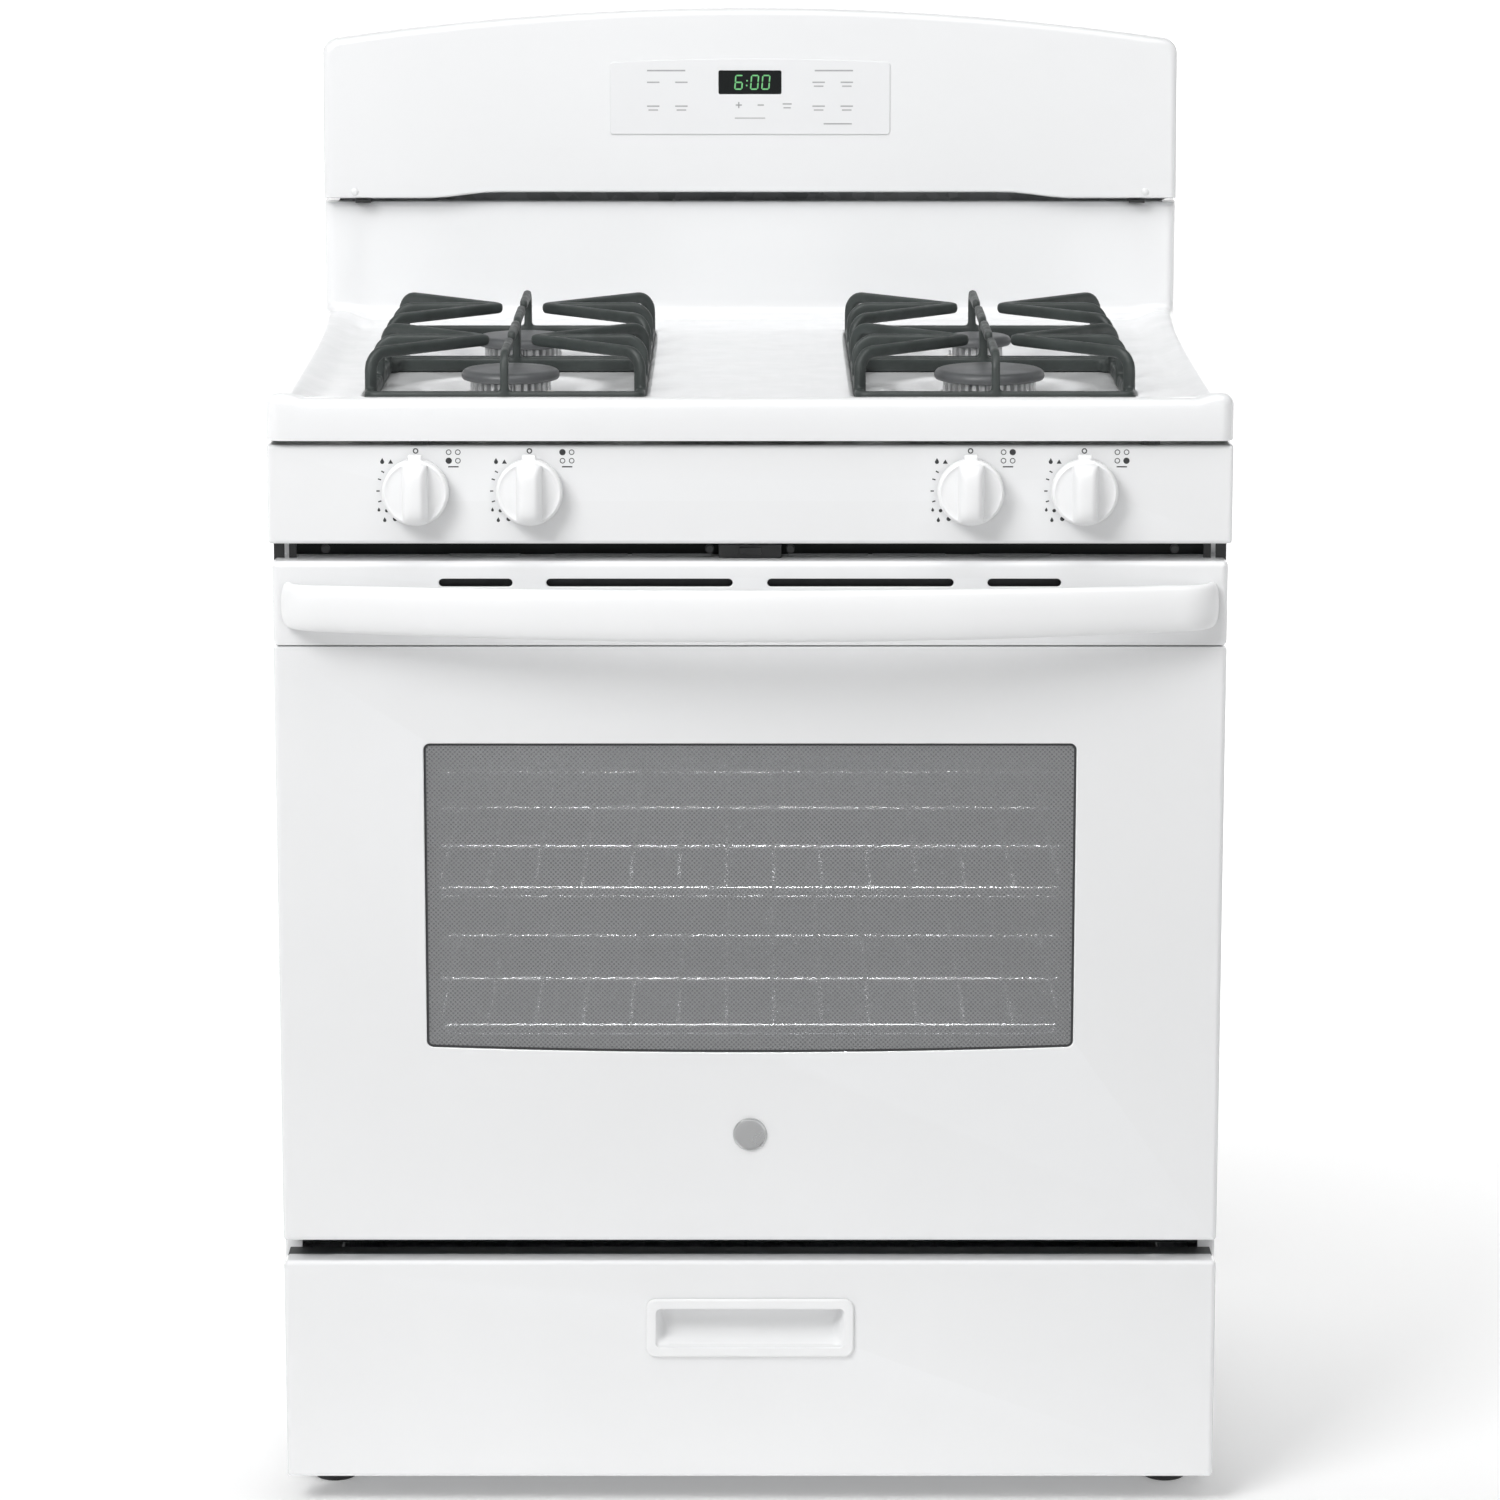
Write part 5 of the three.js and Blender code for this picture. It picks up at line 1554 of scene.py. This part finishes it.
def oven_floor():
    """A lift-out pressed plate with heat slots near its sides and a turned-down front lip."""
    (_, right), (front, back), (_, high) = extent("oven_floor")
    mid, half = middle((front, back)), (back - front) / 2
    mesh = bmesh.new()
    edges, _ = add_rings(mesh, round_box(right, -half, half, 10), [(0.0, 2.0), (0.4, 0.6), (1.4, 0.0)])
    for _, side in SIDES:
        for i in range(9):
            slot = turned_slot(side * (right - 26), front + 70 + i * 40 - mid, 24, 5)
            more, _ = add_rings(mesh, slot, [(0.0, 1.8), (-0.3, 0.4), (-0.8, 0.0)])
            edges += more
    bmesh.ops.triangle_fill(mesh, use_beauty=True, edges=edges)
    for vertex in mesh.verts:
        x, depth, across = vertex.co
        vertex.co = Vector((x, mid + across, high - depth * 0.75))
    bmesh.ops.recalc_face_normals(mesh, faces=mesh.faces)
    ensure_up(mesh, (0, mid, high))
    piece = finish_mesh(mesh, "oven_floor_plate", DARK_ENAMEL, "chassis", sharp=45)
    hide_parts("oven_floor")


def gasket():
    """Braided rope round the oven's mouth."""
    (_, right), (front, back), (low, high) = extent("oven_gasket")
    y = middle((front, back))
    loop = [(x, y, z) for x, z in rounded_path(right - 4, low + 4, high - 4, 16, 2.6)]
    mesh = bmesh.new()
    add_loop(mesh, loop, oval(3.9, (back - front) / 2 - 0.05, steps=10), grow=0.9)
    piece = finish_mesh(mesh, "gasket_rope", FIBRE, "chassis", sharp=70)
    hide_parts("oven_gasket")


def liner_edge(inset=0.0):
    """The inner liner's outline, notched round the hinges. Its rings are never inset."""
    (_, right), _, (low, high) = extent("door_inner_liner")
    inner, outer = HINGE_SLOT
    points = [(-right, low)]
    for a, b in ((-outer, -inner), (inner, outer)):
        points += [(a, low), (a, HINGE_NOTCH), (b, HINGE_NOTCH), (b, low)]
    return points + [(right, low), (right, high), (-right, high)]


def door_liner():
    """The door's inner side: a flat rim, a raised plug that fills the oven's mouth, and a window."""
    front, back = extent("door_inner_liner")[1]
    (_, cavity), _, (oven_low, oven_high) = extent("oven_liner")
    pane_low, pane_high = extent("door_inner_glass")[2]
    mesh = bmesh.new()
    outer, _ = add_rings(mesh, liner_edge, [(0.0, front), (0.0, back)])
    plug = round_box(cavity - 32, oven_low + 30, oven_high - 30, 26, steps=7)
    top = back + LINER_PLUG
    plug_rings = [(-3.0, back), (0.0, back), (0.8, back + 0.2), (2.2, back + 1.6), (4.2, top - 1.6),
                  (5.6, top - 0.2), (6.6, top), (9.6, top)]
    plateau, loops = add_rings(mesh, plug, plug_rings)
    bmesh.ops.triangle_fill(mesh, use_beauty=True, edges=outer + loop_edges(mesh, loops[0]))
    pane = round_box(250, pane_low + 15, pane_high - 15, 12)
    rim, _ = add_rings(mesh, pane, [(0.0, back - 1.0), (0.0, top - 1.6), (-0.6, top - 0.4), (-1.8, top)])
    bmesh.ops.triangle_fill(mesh, use_beauty=True, edges=plateau + rim)
    face_forward(mesh, (0, 1, 0))
    piece = finish_mesh(mesh, "door_liner_pressing", DARK_ENAMEL, "oven_door", sharp=40)
    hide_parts("door_inner_liner")


for rack_name in ("lower_oven_rack", "upper_oven_rack"):
    oven_rack(rack_name)
oven_liner()
oven_fittings()
oven_floor()
gasket()
door_liner()


# ---- Body -----------------------------------------------------------------------------------------
COOLING_ROWS = (1060, 1076, 1092, 1108)
THREAD_TURNS = 7
PAN_WALL = 23.5                 # the drawer's tray stands this far inside its runners


def side_panel(name, side):
    """A side sheet with returned edges and a shallow pressed field."""
    (x0, x1), (front, back), (low, high) = extent(f"{name}_side_panel")
    face = x1 if side > 0 else x0
    mid, half = middle((front, back)), (back - front) / 2
    depth = x1 - x0
    rings = round_over(depth, 0.0, 2.5) + [(34, 0.0), (36, 0.15), (39, 0.75), (41, 0.9)]
    mesh = pressing(round_box(half, low, high, 3.0), rings)
    for vertex in mesh.verts:
        across, inwards, height = vertex.co
        vertex.co = Vector((face - side * inwards, mid + across, height))
    face_forward(mesh, (side, 0, 0))
    piece = finish_mesh(mesh, f"{name}_side_sheet", ENAMEL, "chassis", sharp=50, sheet=SHEET)
    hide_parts(f"{name}_side_panel")


def turn_round(mesh):
    """Half a turn about Z, for pieces built facing the front that face the back."""
    mesh.transform(Matrix.Rotation(math.pi, 4, "Z"))


def add_screw(mesh, x, y, z, radius=4.5):
    """A hexagon head on a washer, facing the back."""
    place = facing_back(x, y, z)
    washer = [(0, 0), (radius, 0), (radius, 0.6), (radius * 0.72, 1.0), (0, 1.0)]
    add_lathe(mesh, washer, steps=24, place=place)
    head = [(0, 0.9), (radius * 0.66, 0.9), (radius * 0.66, 3.0), (radius * 0.5, 3.6), (0, 3.6)]
    add_lathe(mesh, head, steps=6, place=place)


def rear_panel():
    """The galvanised back sheet: vent slots, stiffening beads and screws."""
    (_, right), (front, back), (low, high) = extent("rear_panel")
    rim = [(0.0, -front + 0.3), (0.0, -back + 0.5), (-0.5, -back)]
    heights = (high - 46, high - 62, high - 78, low + 40, low + 56, low + 72)
    holes = [(slot_outline((i - 4) * 58, z, 44, 5.5), rim) for z in heights for i in range(9)]
    mesh = pressing(round_box(right, low, high, 4), [(0.0, -front), (0.0, -back + 0.6), (0.6, -back)], holes)
    turn_round(mesh)
    piece = finish_mesh(mesh, "rear_sheet", ZINC, "chassis", sharp=40)
    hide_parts("rear_panel")
    beads = bmesh.new()
    upright = (low + 110, high - 118)
    for x in (-300, -180, -60, 60, 180, 300):
        add_block(beads, about(x, 6), (back - 1.0, back + 2.0), upright, edge=1.9, segments=3)
    finish_mesh(beads, "rear_beads", ZINC, "chassis", sharp=40)
    screws = bmesh.new()
    for _, side in SIDES:
        for i in range(5):
            add_screw(screws, side * (right - 9), back, low + 30 + (high - low - 60) * i / 4)
    for i in range(1, 4):
        add_screw(screws, -right + 2 * right * i / 4, back, high - 9)
        add_screw(screws, -right + 2 * right * i / 4, back, low + 9)
    finish_mesh(screws, "rear_screws", WIRE, "chassis", sharp=30)


def guard_cover():
    """The backguard's rear sheet, with cooling slots."""
    (_, right), (front, back), (low, _) = extent("backguard_rear_cover")
    shell = extent("backguard_shell")
    shrink = shell[0][1] - right
    lowest = shell[2][0] + 12

    def outline(inset=0.0):
        """The shell's outline with a straight foot."""
        points = []
        for x, z in guard_outline(shrink + inset):
            if z > lowest:
                points.append((x, z))
            elif abs(x) > right - 3:
                points.append((x, low + inset))
        return points

    rim = [(0.0, -front + 0.2), (0.0, -back + 0.5), (-0.4, -back)]
    holes = [(slot_outline((i - 3) * 66, z, 48, 5.5), rim) for z in COOLING_ROWS for i in range(7)]
    mesh = pressing(outline, [(0.0, -front), (0.0, -back + 0.5), (0.5, -back)], holes)
    turn_round(mesh)
    piece = finish_mesh(mesh, "guard_rear_sheet", ZINC, "chassis", sharp=40)
    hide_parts("backguard_rear_cover")


def leg(name):
    """A moulded foot with a flat-sided collar on a threaded stud."""
    (x0, x1), (y0, y1), (low, high) = extent(name)
    place = Matrix.Translation((middle((x0, x1)), middle((y0, y1)), 0))
    radius = (x1 - x0) / 2
    mesh = bmesh.new()
    base = [(0, 0), (radius - 1, 0), (radius, 1), (radius, 4.5), (radius - 1.5, 6.2), (11, 8.6), (9, 11),
            (0, 11)]
    collar = [(0, 10), (8.6, 10), (9.2, 11), (9.2, 25.6), (8.4, 26.6), (0, 26.6)]
    for profile, steps in ((base, 48), (collar, 6)):
        add_lathe(mesh, [(r, low + rise) for r, rise in profile], steps=steps, place=place)
    piece = finish_mesh(mesh, f"{name}_foot", BLACK_PLASTIC, "chassis", sharp=30)
    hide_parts(name)
    stud = bmesh.new()
    thread = [(0, low + 26)]
    for i in range(THREAD_TURNS * 2 + 1):
        rise = 26.4 + i * (high - low - 27) / (THREAD_TURNS * 2)
        thread.append((4.5 if i % 2 else 3.9, low + rise))
    add_lathe(stud, thread + [(0, high)], steps=24, place=place)
    finish_mesh(stud, f"{name}_stud", ZINC, "chassis", sharp=50)


def drawer_pan():
    """A pressed tray with round inner corners, a rolled rim and two runners."""
    (_, right), (front, back), (low, high) = extent("drawer_pan")
    half = right - PAN_WALL
    mid, reach = middle((front, back)), (back - front) / 2
    rings = [(0.4, -(high - 7)), (-0.1, -(high - 3)), (0.2, -(high - 1)), (1.2, -high), (2.4, -(high - 0.8)),
             (2.9, -(high - 3)), (2.9, -(low + 15))]
    for i in range(6):
        t = math.pi / 2 * i / 5
        rings.append((2.9 + 13 * (1 - math.cos(t)), -(low + 1.2 + 13 * (1 - math.sin(t)))))
    mesh = pressing(round_box(half, -reach, reach, 12, steps=6), rings)
    for vertex in mesh.verts:
        x, depth, across = vertex.co
        vertex.co = Vector((x, mid + across, -depth))
    bmesh.ops.recalc_face_normals(mesh, faces=mesh.faces)
    ensure_up(mesh, (0, mid, low))
    piece = finish_mesh(mesh, "drawer_tray", ZINC, "storage_drawer", sharp=45, sheet=0.9)
    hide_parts("drawer_pan")
    runners = bmesh.new()
    rail_z = middle(extent("left_drawer_rail")[2])
    for _, side in SIDES:
        add_block(runners, on_side(side, half - 0.6, right), (front, back), about(rail_z, 3), edge=0.9)
        outside = on_side(side, half - 0.4, half + 0.6)
        for y in (front + 90, mid, back - 90):
            add_block(runners, outside, about(y, 22), about(rail_z, 14), edge=0.4)
    finish_mesh(runners, "drawer_runners", ZINC, "storage_drawer", sharp=35)


for side_name, side_sign in SIDES:
    side_panel(side_name, side_sign)
    for row_name in ("front", "rear"):
        leg(f"{side_name}_{row_name}_leg")
rear_panel()
guard_cover()
drawer_pan()

# ---- Small parts in the gaps ----------------------------------------------------------------------
SLOT_SPANS = ((30, 94), (97, 155), (182, 239))      # from the middle, on either side


def frame_details():
    """The latch, the cooling slots, black blocks of painted shade at the frame's ends and the screw heads on
    the front frame, above the door.
    """
    _, (front, _), (_, top) = extent("front_frame")
    latch = bmesh.new()
    add_block(latch, about(0, 25), (front - 3.4, front + 0.4), (top - 12, top - 1), edge=1.0)
    add_block(latch, about(0, 9), (front - 5.2, front - 3.0), (top - 9, top - 3), edge=0.8)
    finish_mesh(latch, "latch_cover", BLACK_PLASTIC, "chassis", sharp=35)
    slots = bmesh.new()
    depth, height = (front - 0.9, front + 0.3), (top - 10.2, top - 8.8)
    for inner, outer in SLOT_SPANS:
        for _, side in SIDES:
            add_block(slots, on_side(side, inner, outer), depth, height, edge=0.5, segments=3)
    finish_mesh(slots, "frame_slot_edges", SHADE_AND_SLOT_GREY, "chassis", sharp=35)
    # Black blocks at the frame's ends are painted shade, standing for the white side flanges in deep shade
    # behind the trim's ends.
    ends = bmesh.new()
    for _, side in SIDES:
        for inner, outer, sunk in ((369.5, 378, -0.3), (360, 366, 0.3)):
            across, depth = on_side(side, inner, outer), (front - 1.2, front + sunk)
            add_block(ends, across, depth, (top - 15, top + 1), edge=0.3)
    finish_mesh(ends, "frame_end_painted_shade", BLACK_PLASTIC, "chassis", sharp=35)
    screws = bmesh.new()
    head = [(0, -0.4), (3.6, -0.4), (3.6, 0.9), (2.8, 1.6), (0, 1.6)]
    for x in (-337, -32, 32, 337):
        add_lathe(screws, head, steps=24, place=facing_front(x, front, top - 5))
    finish_mesh(screws, "frame_screws", BLACK_PLASTIC, "chassis", sharp=30)


def seam_clips():
    """Two spring clips that show in the seam above the knob panel."""
    top = extent("knob_panel")[2][1]
    front = extent("cooktop")[1][0]
    mesh = bmesh.new()
    for x in (-260, 316):
        add_block(mesh, about(x, 7), (front + 5.5, front + 30), (top + 0.3, top + 3.4), edge=0.5)
        add_block(mesh, about(x, 2), (front + 4, front + 6), (top + 0.6, top + 3.0), edge=0.5)
    finish_mesh(mesh, "seam_clips", BLACK_PLASTIC, "chassis", sharp=35)


frame_details()
seam_clips()


# ---- Finishes of the CAD pieces -------------------------------------------------------------------
FINISHES = {
    "white_enamel": ENAMEL,
    "dark_enamel": DARK_ENAMEL,
    "galvanised_steel": ZINC,
    "oven_wire": WIRE,
    "gasket_fibre": FIBRE,
    "aluminium": CAST_ALUMINIUM,
    "brass": BRASS,
    "white_plastic": WHITE_PLASTIC,
    "black_plastic": BLACK_PLASTIC,
    "cap_enamel": CAP_ENAMEL,
    "cast_iron": CAST_IRON,
    "printed_glass": DOTTED_GLASS,
    "clear_glass": CLEAR_GLASS,
}


def dress_nodes():
    """Every CAD piece that stays on show takes its slot's finish."""
    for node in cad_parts.values():
        for place in node.material_slots:
            place.material = FINISHES[place.material.name.split(".")[0]]
    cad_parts["front_frame"].material_slots[0].material = FRAME_ENAMEL


# ---- Studio ---------------------------------------------------------------------------------------
FLOOR_FRONT = -30000            # the floor and the backdrop, in mm
FLOOR_BACK = 14000
FLOOR_WIDTH = 25000             # to either side
FLOOR_BEND = 4000
BACKDROP_HEIGHT = 9000
STUDIO_TONE = (0.9, 0.9, 0.9)
FLOOR_NEAR = (0.42, 0.42, 0.42)
GLOW_ASIDE = 3.0                # the floor's glow starts to grow this far, in metres, to either side
GLOW_AHEAD = 6.0                # and this far in front
BACKDROP_GLOW = 0.95
WORLD_LEVEL = 0.22
KEY_POWER = 96
FILL_POWER = 10
TOP_POWER = 31
RACK_LAMP = (0.5, 0.04)         # metres
UPPER_LAMP_POWER = 6
LOWER_LAMP_POWER = 1.2


def studio_floor():
    """A pale floor that curves up far behind the range."""
    mesh = bmesh.new()
    track = [(FLOOR_FRONT, 0.0)]
    for i in range(17):
        t = math.pi / 2 * i / 16
        track.append((FLOOR_BACK + FLOOR_BEND * math.sin(t), FLOOR_BEND * (1 - math.cos(t))))
    track.append((FLOOR_BACK + FLOOR_BEND, BACKDROP_HEIGHT))
    rows = [[mesh.verts.new((x, y, z)) for x in (-FLOOR_WIDTH, FLOOR_WIDTH)] for y, z in track]
    for near, far in zip(rows, rows[1:]):
        join_rows(mesh, near, far)
    floor = make_object(mesh, "studio_floor", studio_white())


def studio_white():
    """A matt white, a little greyer just in front of the range and lit from within further away."""
    made = surface("studio_white", STUDIO_TONE, 0.8, mottle=0.004, bump_mm=0.1)
    nodes, links = made.node_tree.nodes, made.node_tree.links
    split = nodes.new("ShaderNodeSeparateXYZ")
    links.new(nodes["Texture Coordinate"].outputs["Object"], split.inputs["Vector"])
    aside = arithmetic(nodes, links, "ABSOLUTE", split.outputs["X"], 0.0)
    beside = arithmetic(nodes, links, "SUBTRACT", aside, GLOW_ASIDE)
    before = arithmetic(nodes, links, "SUBTRACT", -GLOW_AHEAD, split.outputs["Y"])
    away = arithmetic(nodes, links, "MAXIMUM", beside, before)
    away = arithmetic(nodes, links, "MAXIMUM", away, split.outputs["Y"])
    glow = ramp_between(nodes, links, away, -0.5, 1.6, 0.1, BACKDROP_GLOW)
    shader = nodes["Principled BSDF"]
    paleness = ramp_between(nodes, links, split.outputs["Y"], -1.6, -0.45, 0.0, 1.0)
    tone = mix_colours(nodes, links, paleness, FLOOR_NEAR, STUDIO_TONE)
    links.new(tone, shader.inputs["Base Color"])
    shader.inputs["Emission Color"].default_value = (1.0, 1.0, 1.0, 1.0)
    links.new(glow, shader.inputs["Emission Strength"])
    return made


def add_light(name, place, size, power):
    light = bpy.data.lights.new(name, "AREA")
    light.shape = "RECTANGLE"
    light.size, light.size_y = size
    light.energy = power
    lamp = bpy.data.objects.new(name, light)
    lamp.location = place
    bpy.context.scene.collection.objects.link(lamp)
    return lamp


def aimed_light(name, place, target, size, power):
    lamp = add_light(name, place, size, power)
    lamp.rotation_euler = (Vector(target) - Vector(place)).to_track_quat("-Z", "Y").to_euler()


def studio_light():
    """A dim white sky, as bright as the floor near the horizon, and three soft lights."""
    world = bpy.data.worlds.new("studio_world")
    world.use_nodes = True
    sky = world.node_tree.nodes["Background"]
    sky.inputs["Color"].default_value = (1.0, 1.0, 1.0, 1.0)
    nodes, links = world.node_tree.nodes, world.node_tree.links
    split = nodes.new("ShaderNodeSeparateXYZ")
    links.new(nodes.new("ShaderNodeTexCoord").outputs["Generated"], split.inputs["Vector"])
    level = ramp_between(nodes, links, split.outputs["Z"], 0.01, 0.06, BACKDROP_GLOW, WORLD_LEVEL)
    links.new(level, sky.inputs["Strength"])
    bpy.context.scene.world = world
    aimed_light("key_light", (-1.9, -2.7, 3.2), (0.0, -0.3, 0.6), (1.8, 1.6), KEY_POWER)
    aimed_light("fill_light", (1.7, -3.4, 1.0), (0.0, -0.2, 0.6), (2.2, 1.6), FILL_POWER)
    aimed_light("top_light", (0.2, -1.0, 3.2), (0.0, 0.1, 0.9), (2.4, 1.6), TOP_POWER)


def oven_light():
    """Two soft lamps near the oven's mouth, one over each rack, that pick out the wires."""
    _, (front, _), (_, high) = extent("oven_liner")
    lamps = (
        ("upper_rack_lamp", high - 45, UPPER_LAMP_POWER),
        ("lower_rack_lamp", extent("upper_oven_rack")[2][0] - 30, LOWER_LAMP_POWER),
    )
    for name, height, power in lamps:
        lamp = add_light(name, (0.0, (front + 12) * MM, height * MM), RACK_LAMP, power)
        lamp.rotation_euler = (math.radians(20), 0.0, 0.0)
        lamp.visible_camera = False


def camera():
    made = bpy.data.cameras.new("camera")
    made.lens = 118.475
    made.sensor_width = 36.0
    made.shift_y = -0.08
    made.clip_end = 200.0
    thing = bpy.data.objects.new("camera", made)
    thing.location = (0.0, -4.141, 1.4415)
    thing.rotation_euler = (math.radians(79.52), 0.0, 0.0)
    bpy.context.scene.collection.objects.link(thing)
    bpy.context.scene.camera = thing
    bpy.context.scene.view_settings.view_transform = "Standard"


dress_nodes()
studio_floor()
studio_light()
oven_light()
camera()

bpy.context.view_layer.update()
